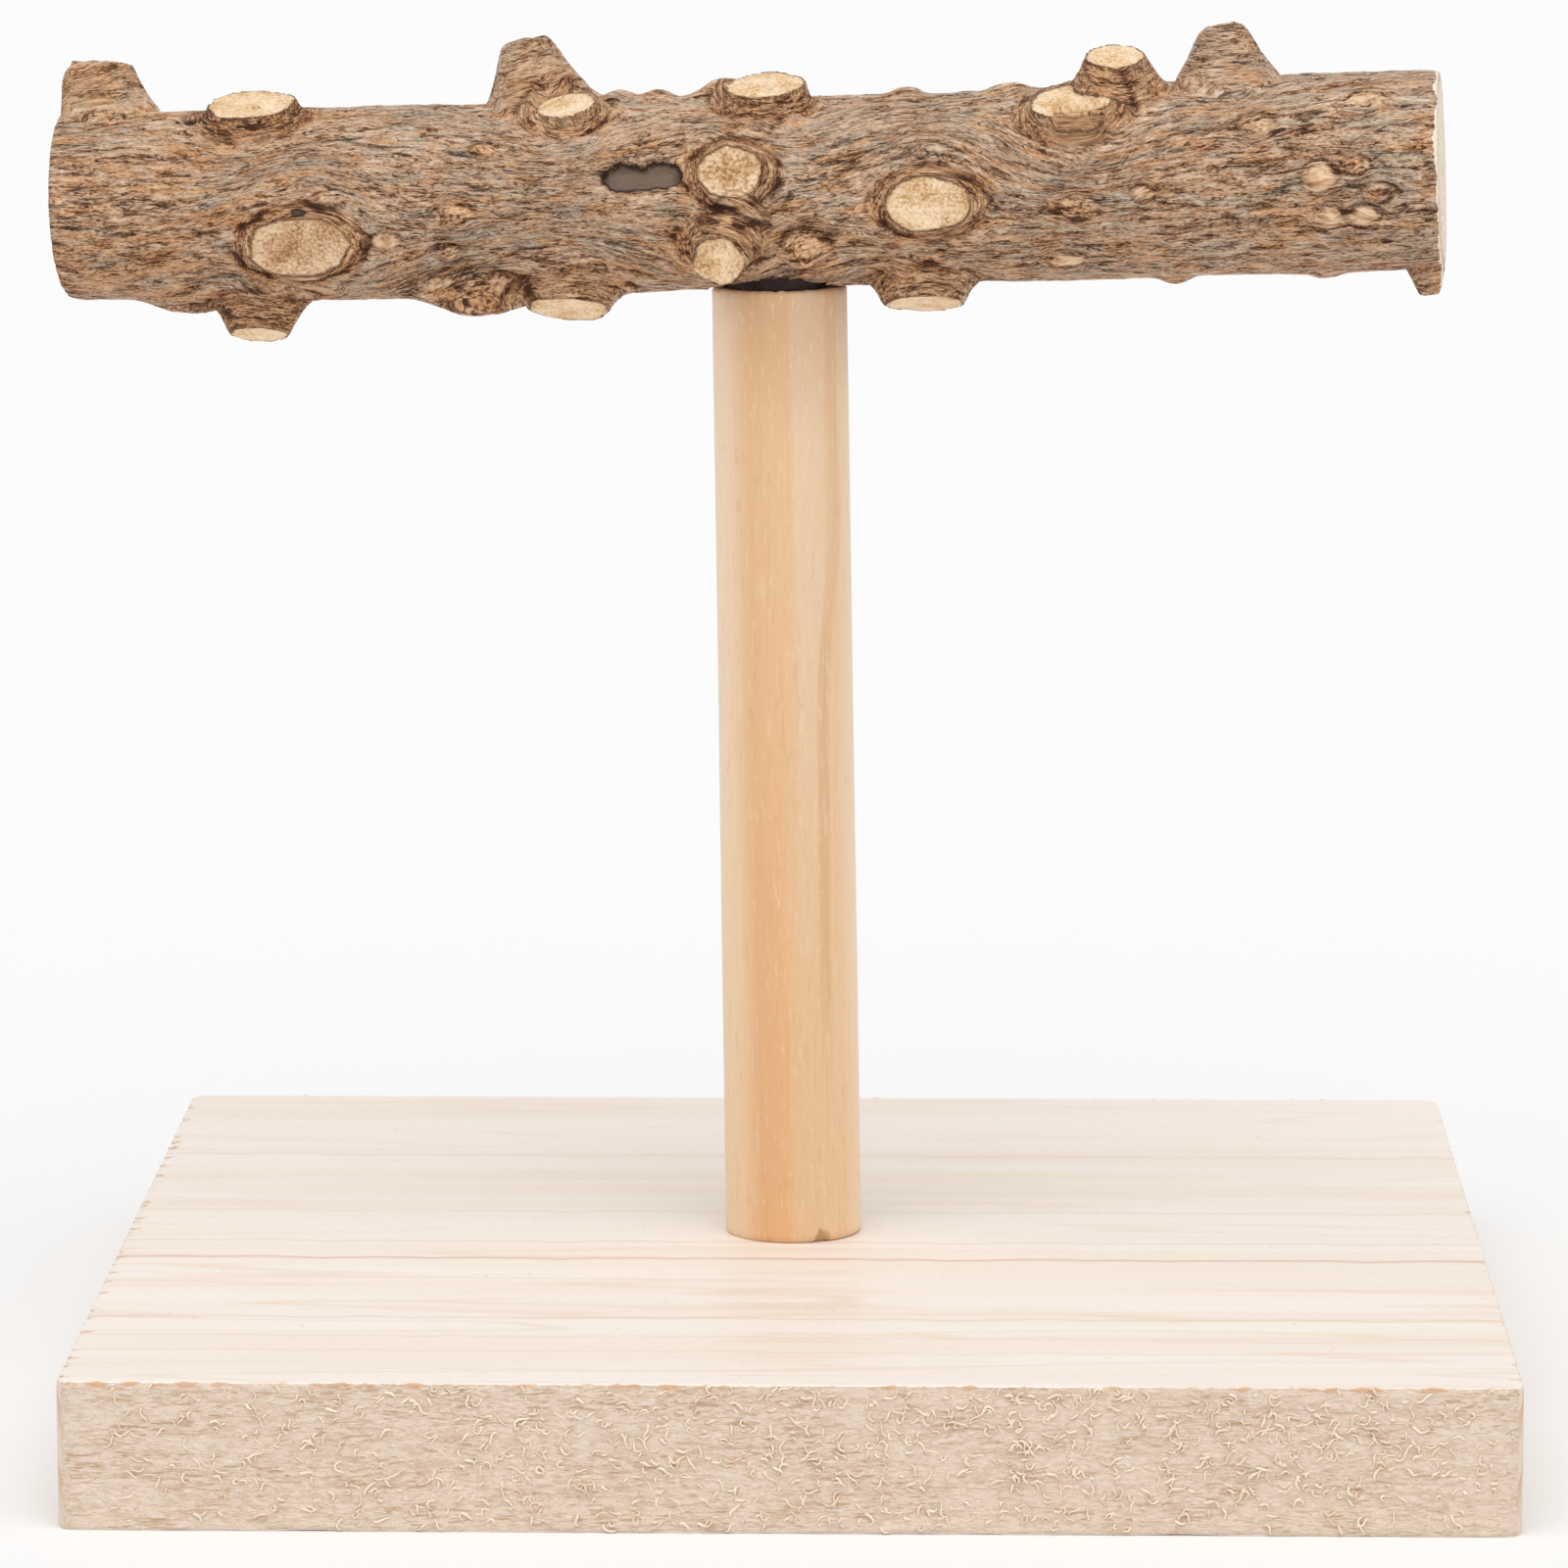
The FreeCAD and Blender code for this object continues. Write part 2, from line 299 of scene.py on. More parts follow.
@dataclass(frozen=True)
class Value:
    """What one node puts out, to be used in sums like a number."""

    graph: "Graph"
    socket: bpy.types.NodeSocket

    def __add__(self, other: "Value | float") -> "Value":
        """This and another."""
        return self.graph.math("ADD", self, other)

    def __sub__(self, other: "Value | float") -> "Value":
        """This less another."""
        return self.graph.math("SUBTRACT", self, other)

    def __rsub__(self, other: float) -> "Value":
        """A number less this."""
        return self.graph.math("SUBTRACT", other, self)

    def __mul__(self, other: "Value | float") -> "Value":
        """This times another."""
        return self.graph.math("MULTIPLY", self, other)

    def __truediv__(self, other: "Value | float") -> "Value":
        """This divided by another."""
        return self.graph.math("DIVIDE", self, other)

    def most(self, other: "Value") -> "Value":
        """The larger of this and another."""
        return self.graph.math("MAXIMUM", self, other)

    def off(self, middle: "Value | float") -> "Value":
        """How far this is from a middle value."""
        return self.graph.math("ABSOLUTE", self - middle)

    def sway(self, amount: float) -> "Value":
        """This, where it lies about a half, moved to lie about 0 and multiplied."""
        return (self - 0.5) * amount

    def step(self, low: float, high: float, top: float = 1.0) -> "Value":
        """A mask that rises smoothly from 0 at low to top at high."""
        inputs = {"Value": self, "From Min": low, "From Max": high, "To Min": 0.0, "To Max": top}
        return self.graph.add("ShaderNodeMapRange", inputs, interpolation_type="SMOOTHSTEP")

    def ramp(self, stops: Stops) -> "Value":
        """A colour picked by this from stops of place and colour."""
        made = self.graph.node("ShaderNodeValToRGB", {0: self})
        points = made.color_ramp.elements
        while len(points) < len(stops):
            points.new(1.0)
        for point, (place, colour) in zip(points, stops):
            point.position = place
            point.color = tone(colour)
        return Value(self.graph, made.outputs[0])

    def part(self, axis: int) -> "Value":
        """One part of this vector: 0 for X, 1 for Y and 2 for Z."""
        return self.graph.add("ShaderNodeSeparateXYZ", {0: self}, axis)

    def scaled(self, factors: Triple) -> "Value":
        """This vector with each part multiplied by its factor."""
        return self.graph.add("ShaderNodeVectorMath", {0: self, 1: factors}, operation="MULTIPLY")

    def cloud(self, scale: float, detail: float) -> "Value":
        """Even noise over this vector."""
        return self.graph.add("ShaderNodeTexNoise", {"Vector": self, "Scale": scale, "Detail": detail})

    def bump(self, depth: float, strength: float) -> "Value":
        """A surface normal roughened by this height, with depth in millimetres."""
        inputs = {"Height": self, "Distance": depth * MM, "Strength": strength}
        return self.graph.add("ShaderNodeBump", inputs, "Normal")


class Graph:
    """Adds nodes to one node tree and joins their sockets."""

    def __init__(self, tree: NodeTree) -> None:
        """Takes over a tree and empties it."""
        self.tree = tree
        tree.nodes.clear()

    def node(self, kind: str, inputs: dict | None = None, **settings: object) -> bpy.types.Node:
        """Adds one node.

        Args:
            kind: the node's type.
            inputs: a constant or a value for each input, by its name or place.
            settings: the node's own options.

        Returns:
            The new node.
        """
        made = self.tree.nodes.new(kind)
        for option, choice in settings.items():
            setattr(made, option, choice)
        for name, given in (inputs or {}).items():
            if isinstance(given, Value):
                self.tree.links.new(given.socket, made.inputs[name])
            else:
                made.inputs[name].default_value = given
        return made

    def add(
        self, kind: str, inputs: dict | None = None, output: int | str = 0, **settings: object
    ) -> Value:
        """Adds one node and gives one of the values that it puts out."""
        return Value(self, self.node(kind, inputs, **settings).outputs[output])

    def math(self, operation: str, first: Value | float, second: Value | float = 0.0) -> Value:
        """One sum on two values."""
        return self.add("ShaderNodeMath", {0: first, 1: second}, operation=operation)

    def mix(self, share: Value, first: Value | Triple, second: Value | Triple) -> Value:
        """One colour laid over another by a share."""
        first, second = (tone(given) if isinstance(given, tuple) else given for given in (first, second))
        return self.add("ShaderNodeMix", {0: share, 6: first, 7: second}, 2, data_type="RGBA")

    def coats(self, colour: Value, *coats: tuple[Value, Value | Triple]) -> Value:
        """A colour with others laid over it in turn, each by its own mask."""
        for mask, coat in coats:
            colour = self.mix(mask, colour, coat)
        return colour

    def blend(self, share: Value, first: Value, second: Value) -> Value:
        """One value giving way to another by a share."""
        return self.add("ShaderNodeMix", {0: share, 2: first, 3: second}, data_type="FLOAT")

    def attribute(self, name: str, output: str = "Fac") -> Value:
        """A value kept on the mesh."""
        return self.add("ShaderNodeAttribute", None, output, attribute_name=name)

    def place(self) -> Value:
        """The surface's place on its object, in millimetres."""
        return self.add("ShaderNodeTexCoord", None, "Object").scaled((1 / MM, 1 / MM, 1 / MM))

    def use(self, group: NodeTree, vector: Value, **sizes: Value | float) -> Value:
        """Places a shared effect over a vector with its own sizes and gives what it puts out."""
        inputs = {name.capitalize(): size for name, size in sizes.items()}
        return self.add("ShaderNodeGroup", {"Vector": vector, **inputs}, node_tree=group)


@dataclass(frozen=True)
class Effects:
    """Shader effects that several finishes share, each a node group."""

    streaks: NodeTree
    lines: NodeTree
    pores: NodeTree

    @classmethod
    def build(cls) -> "Effects":
        """Makes each group once."""
        streaks = cls._streaks()
        return cls(streaks, cls._lines(streaks), cls._pores())

    @staticmethod
    def _group(
        name: str, inputs: dict[str, float], output: str
    ) -> tuple[NodeTree, Graph, dict[str, Value]]:
        """Starts a group that works over a vector.

        Args:
            name: the group's name.
            inputs: each further input's name and first value.
            output: name of the one value that it puts out.

        Returns:
            The group, its graph, and what it is given by name.
        """
        group = bpy.data.node_groups.new(name, "ShaderNodeTree")
        group.interface.new_socket("Vector", in_out="INPUT", socket_type="NodeSocketVector")
        for label, value in inputs.items():
            socket = group.interface.new_socket(label, in_out="INPUT", socket_type="NodeSocketFloat")
            socket.default_value = value
        group.interface.new_socket(output, in_out="OUTPUT", socket_type="NodeSocketFloat")
        graph = Graph(group)
        sockets = graph.node("NodeGroupInput").outputs
        return group, graph, {socket.name: Value(graph, socket) for socket in sockets}

    @staticmethod
    def _sized(graph: Graph, vector: Value, length: Value, width: Value) -> Value:
        """A vector divided by a length along the grain and a width across it."""
        size = graph.add("ShaderNodeCombineXYZ", {0: length, 1: width, 2: width})
        return graph.add("ShaderNodeVectorMath", {0: vector, 1: size}, operation="DIVIDE")

    @classmethod
    def _streaks(cls) -> NodeTree:
        """Noise drawn out along the grain, which runs with the vector's X."""
        inputs = {"Length": 6.0, "Width": 1.0, "Detail": 3.0, "Bend": 0.0}
        group, graph, given = cls._group("grain_streaks", inputs, "Value")
        drawn = cls._sized(graph, given["Vector"], given["Length"], given["Width"])
        texture = {"Vector": drawn, "Scale": 1.0, "Detail": given["Detail"], "Distortion": given["Bend"]}
        graph.node("NodeGroupOutput", {0: graph.add("ShaderNodeTexNoise", texture)})
        return group

    @classmethod
    def _lines(cls, streaks: NodeTree) -> NodeTree:
        """Thin broken lines along the grain, such as cracks or growth lines."""
        inputs = {"Length": 6.0, "Width": 1.0, "Fine": 0.05, "Bend": 0.0}
        group, graph, given = cls._group("grain_lines", inputs, "Mask")
        sizes = {"length": given["Length"], "width": given["Width"], "bend": given["Bend"]}
        value = graph.use(streaks, given["Vector"], detail=2.0, **sizes)
        near = 1.0 - value.off(0.5) / given["Fine"]
        graph.node("NodeGroupOutput", {0: near.step(0.0, 1.0)})
        return group

    @classmethod
    def _pores(cls) -> NodeTree:
        """Small open pores, as on wood that is sawn across."""
        group, graph, given = cls._group("wood_pores", {"Spacing": 0.6, "Size": 0.3}, "Mask")
        drawn = cls._sized(graph, given["Vector"], given["Spacing"], given["Spacing"])
        cells = graph.add("ShaderNodeTexVoronoi", {"Vector": drawn, "Scale": 1.0}, "Distance")
        near = 1.0 - cells / given["Size"]
        graph.node("NodeGroupOutput", {0: near.step(0.0, 0.7)})
        return group


@dataclass(frozen=True)
class Finish:
    """A material made of nodes. Each kind of finish paints its own."""

    name: str
    effects: Effects

    def material(self) -> bpy.types.Material:
        """Makes the material and lets the finish paint it."""
        made = bpy.data.materials.new(self.name)
        made.use_nodes = True
        graph = Graph(made.node_tree)
        shader = graph.add("ShaderNodeBsdfPrincipled", {**self.constants(), **self.paint(graph)})
        graph.node("ShaderNodeOutputMaterial", {"Surface": shader})
        return made

    def constants(self) -> dict[str, float]:
        """Shader values that are the same all over."""
        return {"Specular IOR Level": 0.3}

    def paint(self, graph: Graph) -> dict[str, Value]:
        """Shader values that change over the surface, by socket name."""
        raise NotImplementedError

    @staticmethod
    def surface(colour: Value, rough: Value, normal: Value | None = None) -> dict[str, Value]:
        """A colour, a roughness and perhaps a normal, by the shader's socket names."""
        made = {"Base Color": colour, "Roughness": rough}
        return made if normal is None else {**made, "Normal": normal}


@dataclass(frozen=True)
class BranchFinish(Finish):
    """Rough bark in thin wavy plates, and the bare wood of cut twigs and ends."""

    brown_tones: Stops = (
        (0.20, (62, 40, 29)), (0.36, (120, 87, 62)), (0.50, (180, 141, 110)), (0.64, (210, 175, 144)),
        (0.82, (234, 213, 190)),
    )
    grey_tones: Stops = (
        (0.20, (66, 51, 41)), (0.36, (120, 100, 82)), (0.52, (173, 150, 127)), (0.80, (218, 202, 182)),
    )
    rust_tones: Stops = (
        (0.20, (72, 42, 26)), (0.36, (132, 86, 54)), (0.52, (196, 143, 98)), (0.80, (234, 193, 148)),
    )
    fresh_tones: Stops = (
        (0.26, (247, 226, 194)), (0.45, (240, 209, 171)), (0.60, (232, 194, 146)), (0.78, (206, 157, 98)),
    )
    aged_tones: Stops = (
        (0.28, (228, 197, 163)), (0.46, (206, 167, 129)), (0.60, (186, 142, 98)), (0.76, (152, 108, 66)),
    )
    rim: Triple = (186, 138, 94)
    knot_wood: Triple = (236, 202, 166)
    knot_dark: Triple = (190, 140, 96)
    hollow_floor: Triple = (124, 103, 87)
    hollow_edge_shade: Triple = (50, 36, 30)
    pared_wood: Triple = (134, 98, 72)
    pore: Triple = (166, 120, 76)
    pale_end: Triple = (240, 228, 210)
    pith: Triple = (172, 112, 58)
    pith_place: Triple = (0.9, -1.2, 13.0)
    pith_radius: float = 0.34
    ring_spacing: float = 1.25
    end_mark: float = 300.0

    def paint(self, graph: Graph) -> dict[str, Value]:
        """Streaked bark along the branch and round its stubs, with painted light on its top, and porous wood
        where it is cut.
        """
        grain, ring = graph.attribute("grain", "Vector"), graph.attribute("ring", "Vector")
        turned = graph.attribute("turned")

        def both(effect: NodeTree, **sizes: float) -> Value:
            """An effect along the branch that gives way to the same effect round each stub."""
            along = graph.use(effect, grain, **sizes)
            return graph.blend(turned, along, graph.use(effect, ring, **sizes))

        streaks = self.effects.streaks
        strands = both(streaks, length=1.8, width=0.38, detail=3.0, bend=0.5)
        hairs = both(streaks, length=0.45, width=0.15, detail=2.0, bend=0.3)
        folds = both(streaks, length=5.5, width=0.95, detail=1.0, bend=0.9)
        cracks = both(self.effects.lines, length=3.6, width=0.80, fine=0.035, bend=0.9)
        split = (cracks * folds.step(0.66, 0.48)).most(folds.step(0.36, 0.325, 0.8))
        # Painted shade: besides the bark's height, the kept relief darkens the bark round some stubs and in
        # the cracks round stubs and knots.
        level = graph.attribute("relief") * 0.13 + strands.sway(0.75) + hairs.sway(0.76)
        level = level * (graph.attribute("collar") * 0.3 + 1.0) - split * 0.25
        # Painted light: the bark grows lighter towards the top of the branch.
        level = level + grain.part(2).step(1.0, 10.0, 0.045) + 0.535
        bark, sunk = self.marks(graph, self.bark(graph, grain, level), strands, hairs)

        cut = graph.attribute("cut") + strands.sway(0.9)
        bare = cut.step(-0.05, 0.05)
        blotch, specks = ring.cloud(0.34, 4.0), ring.cloud(2.8, 2.0)
        pores = graph.use(self.effects.pores, ring, spacing=0.42, size=0.36)
        shade = blotch + strands.sway(0.35) + specks.sway(1.25)
        wood = self.wood(graph, ring, cut, shade, blotch, pores)
        ridges = (strands + hairs * 0.45 - split * 0.3) * (1.0 - bare.most(sunk))
        dents = (pores + specks.sway(1.0)) * 0.12
        height = ridges - dents * bare
        return self.surface(graph.mix(bare, bark, wood), level.step(0.9, 0.2, 0.95), height.bump(0.36, 1.0))

    def bark(self, graph: Graph, grain: Value, level: Value) -> Value:
        """Brown bark that greys and rusts in streaks, warmer towards its left end and round each stub."""
        streaks = self.effects.streaks
        warm = grain.part(0).step(-35.0, -70.0, 0.05)
        greyed = graph.use(streaks, grain, length=7.0, width=2.0, detail=4.0, bend=0.6) - warm
        rusted = graph.use(streaks, grain, length=5.0, width=1.3, detail=4.0, bend=0.6) + warm
        rust = level.ramp(self.rust_tones)
        return graph.coats(
            level.ramp(self.brown_tones),
            (greyed.step(0.44, 0.64, 0.9), level.ramp(self.grey_tones)),
            (rusted.step(0.50, 0.64, 0.85), rust),
            (graph.attribute("collar") * 0.7, rust),
        )

    def marks(self, graph: Graph, bark: Value, strands: Value, hairs: Value) -> tuple[Value, Value]:
        """Lays the knots, the hollows with painted shade round their edges, and the pared patch over the
        bark.

        Args:
            graph: the material's graph.
            bark: colour of the bark.
            strands: coarse streaks, which fray the marks.
            hairs: fine streaks, which do the same.

        Returns:
            The marked bark, and the mask of the hollows.
        """
        knot = graph.attribute("knot") + strands.sway(1.6)
        hollow = graph.attribute("hollow") + hairs.sway(0.4)
        sunk = hollow.step(-0.05, 0.08)
        knot_wood = graph.mix(strands.step(0.62, 0.34), self.knot_wood, self.knot_dark)
        # Painted shade: each hollow's floor darkens towards its edge, under the bark round it.
        floor = graph.mix(hollow.step(0.55, 0.05), self.hollow_floor, self.hollow_edge_shade)
        pared_wood = graph.mix(strands.step(0.40, 0.62), self.pared_wood, self.rim)
        marked = graph.coats(
            bark,
            (knot.step(-0.1, 0.75, 0.95), knot_wood),
            (sunk, floor),
            (graph.attribute("pared").step(0.0, 0.3, 0.6), pared_wood),
        )
        return marked, sunk

    def wood(
        self, graph: Graph, ring: Value, cut: Value, shade: Value, blotch: Value, pores: Value
    ) -> Value:
        """Bare wood with its pores, one twig's pith, its rim and the rings of the two ends.

        Args:
            graph: the material's graph.
            ring: places on each cut face.
            cut: distance inside the cut's edge.
            shade: how dark the wood is.
            blotch: broad patches.
            pores: mask of the pores.

        Returns:
            The wood's colour.
        """
        age = graph.attribute("age")
        aged = (age + blotch.sway(0.9)).step(0.0, 1.0)
        places = {0: ring, 1: self.pith_place}
        from_pith = graph.add("ShaderNodeVectorMath", places, "Value", operation="DISTANCE")
        return graph.coats(
            graph.mix(aged, shade.ramp(self.fresh_tones), shade.ramp(self.aged_tones)),
            (pores * blotch.step(0.30, 0.56, 0.6), self.pore),
            (from_pith.off(self.pith_radius).step(0.20, 0.06, 0.9), self.pith),
            (cut.step(0.22, 0.02, 0.45), self.rim),
            (age.step(-0.2, -0.6, 0.75), self.pale_end),
            (self.growth(graph, ring, blotch), self.rim),
        )

    def growth(self, graph: Graph, ring: Value, blotch: Value) -> Value:
        """Mask of the growth rings and the heart on the two sawn ends, which lie beyond the end mark."""
        x, y, z = (ring.part(axis) for axis in range(3))
        reach = graph.math("SQRT", x * x + y * y)
        bent = reach + blotch.sway(3.0)
        rings = graph.math("FRACT", bent / self.ring_spacing).step(0.35, 1.0, 0.5)
        heart = rings.most(reach.step(0.9, 0.5, 0.8))
        return heart * graph.math("GREATER_THAN", z, self.end_mark)


@dataclass(frozen=True)
class PineFinish(Finish):
    """Turned pine with upright bands of early and late wood, and painted light on its sides."""

    # Bands of early and late wood across the post's width; the paler first and last stops of each are
    # painted light on the post's two sides.
    upper_bands_lit_sides: Stops = (
        (0.00, (250, 226, 196)), (0.13, (242, 212, 181)), (0.20, (233, 196, 158)),
        (0.27, (229, 186, 144)), (0.46, (230, 189, 148)), (0.56, (229, 190, 149)),
        (0.60, (231, 200, 168)), (0.79, (232, 201, 168)), (0.88, (233, 197, 158)),
        (1.00, (246, 224, 196)),
    )
    lower_bands_lit_sides: Stops = (
        (0.00, (246, 218, 184)), (0.13, (240, 206, 167)), (0.20, (233, 188, 146)),
        (0.27, (227, 178, 131)), (0.46, (228, 179, 131)), (0.52, (228, 187, 144)),
        (0.60, (227, 190, 149)), (0.79, (230, 193, 153)), (0.88, (236, 198, 158)),
        (1.00, (248, 222, 192)),
    )
    fibre: Triple = (206, 162, 118)
    fleck: Triple = (242, 214, 176)
    chip: Triple = (178, 136, 94)
    stripe: Triple = (216, 168, 122)
    branch_shadow: Triple = (184, 141, 98)
    post_width: float = 14.7

    def paint(self, graph: Graph) -> dict[str, Value]:
        """Bands across the post's width, with painted light on its sides, fine fibres and flecks up its
        length, and a painted shadow of the branch near its top.
        """
        streaks, grain = self.effects.streaks, graph.attribute("grain", "Vector")
        height, across = grain.part(0), grain.part(1)
        drift = graph.use(streaks, grain, length=60.0, width=6.0, detail=2.0)
        fibres = graph.use(streaks, grain, length=14.0, width=0.32, detail=3.0)
        rays = graph.use(streaks, grain, length=2.4, width=0.5, detail=3.0, bend=0.8)
        share = across * (1 / self.post_width) + 0.5 + drift.sway(0.09)
        stripe = share.off(height.step(58.0, 82.0, 0.085) + 0.79).step(0.055, 0.025, 0.6)
        stripe = stripe * height.step(14.0, 34.0) * (1.0 - height.step(60.0, 80.0, 0.6))
        chipped = graph.attribute("chip") + rays.sway(0.9)
        colour = graph.coats(
            graph.mix(height.step(85.0, 15.0), share.ramp(self.upper_bands_lit_sides), share.ramp(self.lower_bands_lit_sides)),
            (stripe, self.stripe),
            # Painted shadow of the branch near the post's top, away from its left side.
            (height.step(86.0, 104.0, 0.4) * share.step(0.02, 0.38), self.branch_shadow),
            (fibres.step(0.52, 0.80, 0.26), self.fibre),
            (rays.step(0.56, 0.74, 0.5), self.fleck),
            (rays.step(0.42, 0.28, 0.28), self.fibre),
            (chipped.step(0.15, 0.5, 0.75), self.chip),
        )
        return self.surface(colour, fibres.step(1.1, 0.0, 0.85), fibres.bump(0.12, 0.5))


@dataclass(frozen=True)
class BoardFinish(Finish):
    """Pale softwood board, planed, ripped or cut across."""

    face: BoardFace = BoardFace.PLANED
    pale: Triple = (247, 237, 228)
    cream: Triple = (244, 231, 217)
    late_wood: Triple = (231, 206, 183)
    main_line: Triple = (216, 180, 160)
    sawn: Triple = (231, 212, 193)
    sawn_mid: Triple = (208, 181, 155)
    sawn_dark: Triple = (198, 161, 128)
    torn: Triple = (213, 166, 122)
    heart_offset: Triple = (0.0, 12.0, 26.0)
    growth_lines: tuple[Triple, ...] = (
        (-15.4, 0.75, 0.75), (-6.8, 0.45, 0.40), (9.1, 0.6, 0.25), (40.0, 0.8, 0.25), (-44.6, 0.6, 0.35),
        (-53.3, 0.5, 0.25), (-60.1, 0.5, 0.22),
    )

    def paint(self, graph: Graph) -> dict[str, Value]:
        """Picks the face's own pattern."""
        painters = {
            BoardFace.PLANED: self.planed,
            BoardFace.RIPPED: self.ripped,
            BoardFace.CROSSCUT: self.crosscut,
        }
        return painters[self.face](graph)

    def planed(self, graph: Graph) -> dict[str, Value]:
        """Smooth top with faint growth lines and a few strong ones, quieter towards the back."""
        place, streaks = graph.place(), self.effects.streaks
        broad = graph.use(streaks, place, length=160.0, width=9.0, detail=2.0)
        fine = graph.use(streaks, place, length=24.0, width=0.8, detail=3.0)
        growth = graph.use(self.effects.lines, place, length=130.0, width=11.0, fine=0.03, bend=0.3)
        wave = graph.use(streaks, place, length=11.0, width=300.0, detail=3.0)
        ragged = graph.use(streaks, place, length=0.9, width=0.5, detail=3.0)
        across = place.part(1)
        loud = 1.0 - across.step(-25.0, 25.0, 0.6)
        late = fine.step(0.5, 0.8, 0.4).most(growth * 0.45)
        bent = across + wave.sway(3.0)
        lines = [
            (bent.off(middle).step(width, 0.15, share), self.main_line)
            for middle, width, share in self.growth_lines
        ]
        frayed = graph.attribute("torn") + ragged.sway(1.6)
        colour = graph.coats(
            graph.mix(broad.step(0.40, 0.66), self.pale, self.cream),
            (late * loud, self.late_wood),
            *lines,
            (frayed.step(0.2, 0.55, 0.9), self.torn),
        )
        return self.surface(colour, fine.step(1.2, 0.0, 0.8), fine.bump(0.08, 0.5))

    def ripped(self, graph: Graph) -> dict[str, Value]:
        """Rough sawn edge with short brown dashes along the grain."""
        place, streaks = graph.place(), self.effects.streaks
        coarse = graph.use(streaks, place, length=1.7, width=0.45, detail=3.0, bend=1.2)
        hair = graph.use(streaks, place, length=0.55, width=0.26, detail=2.0, bend=1.6)
        dashes = graph.use(streaks, place, length=1.9, width=0.30, detail=3.0, bend=0.8)
        patch = graph.use(streaks, place, length=13.0, width=2.4, detail=2.0)
        lines = graph.use(self.effects.lines, place, length=8.0, width=0.75, fine=0.03, bend=0.6)
        dashed = dashes.step(0.45, 0.34, 0.85) * patch.step(0.40, 0.58)
        frayed = graph.attribute("torn") + dashes.sway(1.4)
        colour = graph.coats(
            graph.mix(coarse.step(0.58, 0.34, 0.65), self.sawn, self.sawn_mid),
            (hair.step(0.52, 0.72, 0.6), self.pale),
            (dashed, self.sawn_dark),
            (lines * patch.step(0.34, 0.52, 0.5), self.sawn_dark),
            (frayed.step(0.25, 0.6, 0.7), self.torn),
        )
        height = coarse * 0.6 + hair * 0.4 - dashed * 0.15
        return self.surface(colour, hair.step(1.1, 0.0, 0.95), height.bump(0.32, 1.0))

    def crosscut(self, graph: Graph) -> dict[str, Value]:
        """End grain: curved growth rings, pores and upright saw marks."""
        place = graph.place()
        below = graph.add("ShaderNodeVectorMath", {0: place, 1: self.heart_offset}, operation="ADD")
        inputs = {"Scale": 0.085, "Distortion": 2.5, "Detail": 2.0, "Detail Scale": 0.4}
        rings = graph.add(
            "ShaderNodeTexWave", {"Vector": below.scaled((0.0, 1.0, 1.0)), **inputs},
            wave_type="RINGS", rings_direction="X", wave_profile="SAW",
        )
        tall = place.scaled((1.0, 1.0, 0.08))
        marks = graph.use(self.effects.streaks, tall, length=1.0, width=0.7, detail=3.0)
        pores = graph.use(self.effects.pores, place, spacing=0.5, size=0.3)
        colour = graph.coats(
            graph.mix(rings.step(0.35, 1.0, 0.6), self.sawn, self.sawn_dark),
            (marks.step(0.5, 0.75, 0.25), self.sawn_dark),
            (pores * 0.3, self.sawn_dark),
            (graph.attribute("torn").step(0.15, 0.6, 0.8), self.torn),
        )
        return self.surface(colour, marks.step(1.1, 0.0, 0.95), marks.bump(0.3, 0.7))


@dataclass(frozen=True)
class FibreFinish(Finish):
    """Loose pale fibres that the saw pulled up."""

    light: Triple = (252, 235, 214)
    dark: Triple = (240, 213, 184)

    def paint(self, graph: Graph) -> dict[str, Value]:
        """Paler and darker fibres by their place."""
        place = graph.place()
        hair = graph.use(self.effects.streaks, place, length=1.0, width=0.2, detail=1.0)
        colour = graph.mix(place.cloud(0.6, 2.0).step(0.45, 0.75), self.light, self.dark)
        return self.surface(colour, hair.step(1.1, 0.0, 0.95))


@dataclass(frozen=True)
class SteelFinish(Finish):
    """Plated steel of the fasteners, with fine scratches and dull patches, the black kind darkened further
    as painted shade.
    """

    plating: Plating = Plating.ZINC

    def constants(self) -> dict[str, float]:
        """Metal all over."""
        return {"Metallic": 1.0}

    def paint(self, graph: Graph) -> dict[str, Value]:
        """Clean and dull patches, scratched along the turning."""
        clean, dull = {
            Plating.ZINC: ((196, 198, 202), (150, 150, 152)),
            # Painted shade: the black steel's dark warm tones also stand in for the shade in the gap over
            # the post.
            Plating.BLACKENED: ((62, 49, 46), (40, 31, 30)),
        }[self.plating]
        place = graph.place()
        scratch = graph.use(self.effects.streaks, place, length=5.0, width=0.12, detail=2.0)
        colour = graph.mix(place.cloud(0.5, 4.0).step(0.35, 0.7), clean, dull)
        return self.surface(colour, scratch * 0.35 + 0.22, scratch.bump(0.02, 0.4))


@dataclass(frozen=True)
class FloorFinish(Finish):
    """Plain pale paper under the stand."""

    light: Triple = (251, 251, 251)
    dark: Triple = (248, 248, 248)

    def paint(self, graph: Graph) -> dict[str, Value]:
        """Almost even white."""
        value = graph.add("ShaderNodeTexNoise", {"Scale": 3.0, "Detail": 2.0})
        return self.surface(graph.mix(value, self.light, self.dark), value.step(1.2, 0.0, 0.95))


# The branch


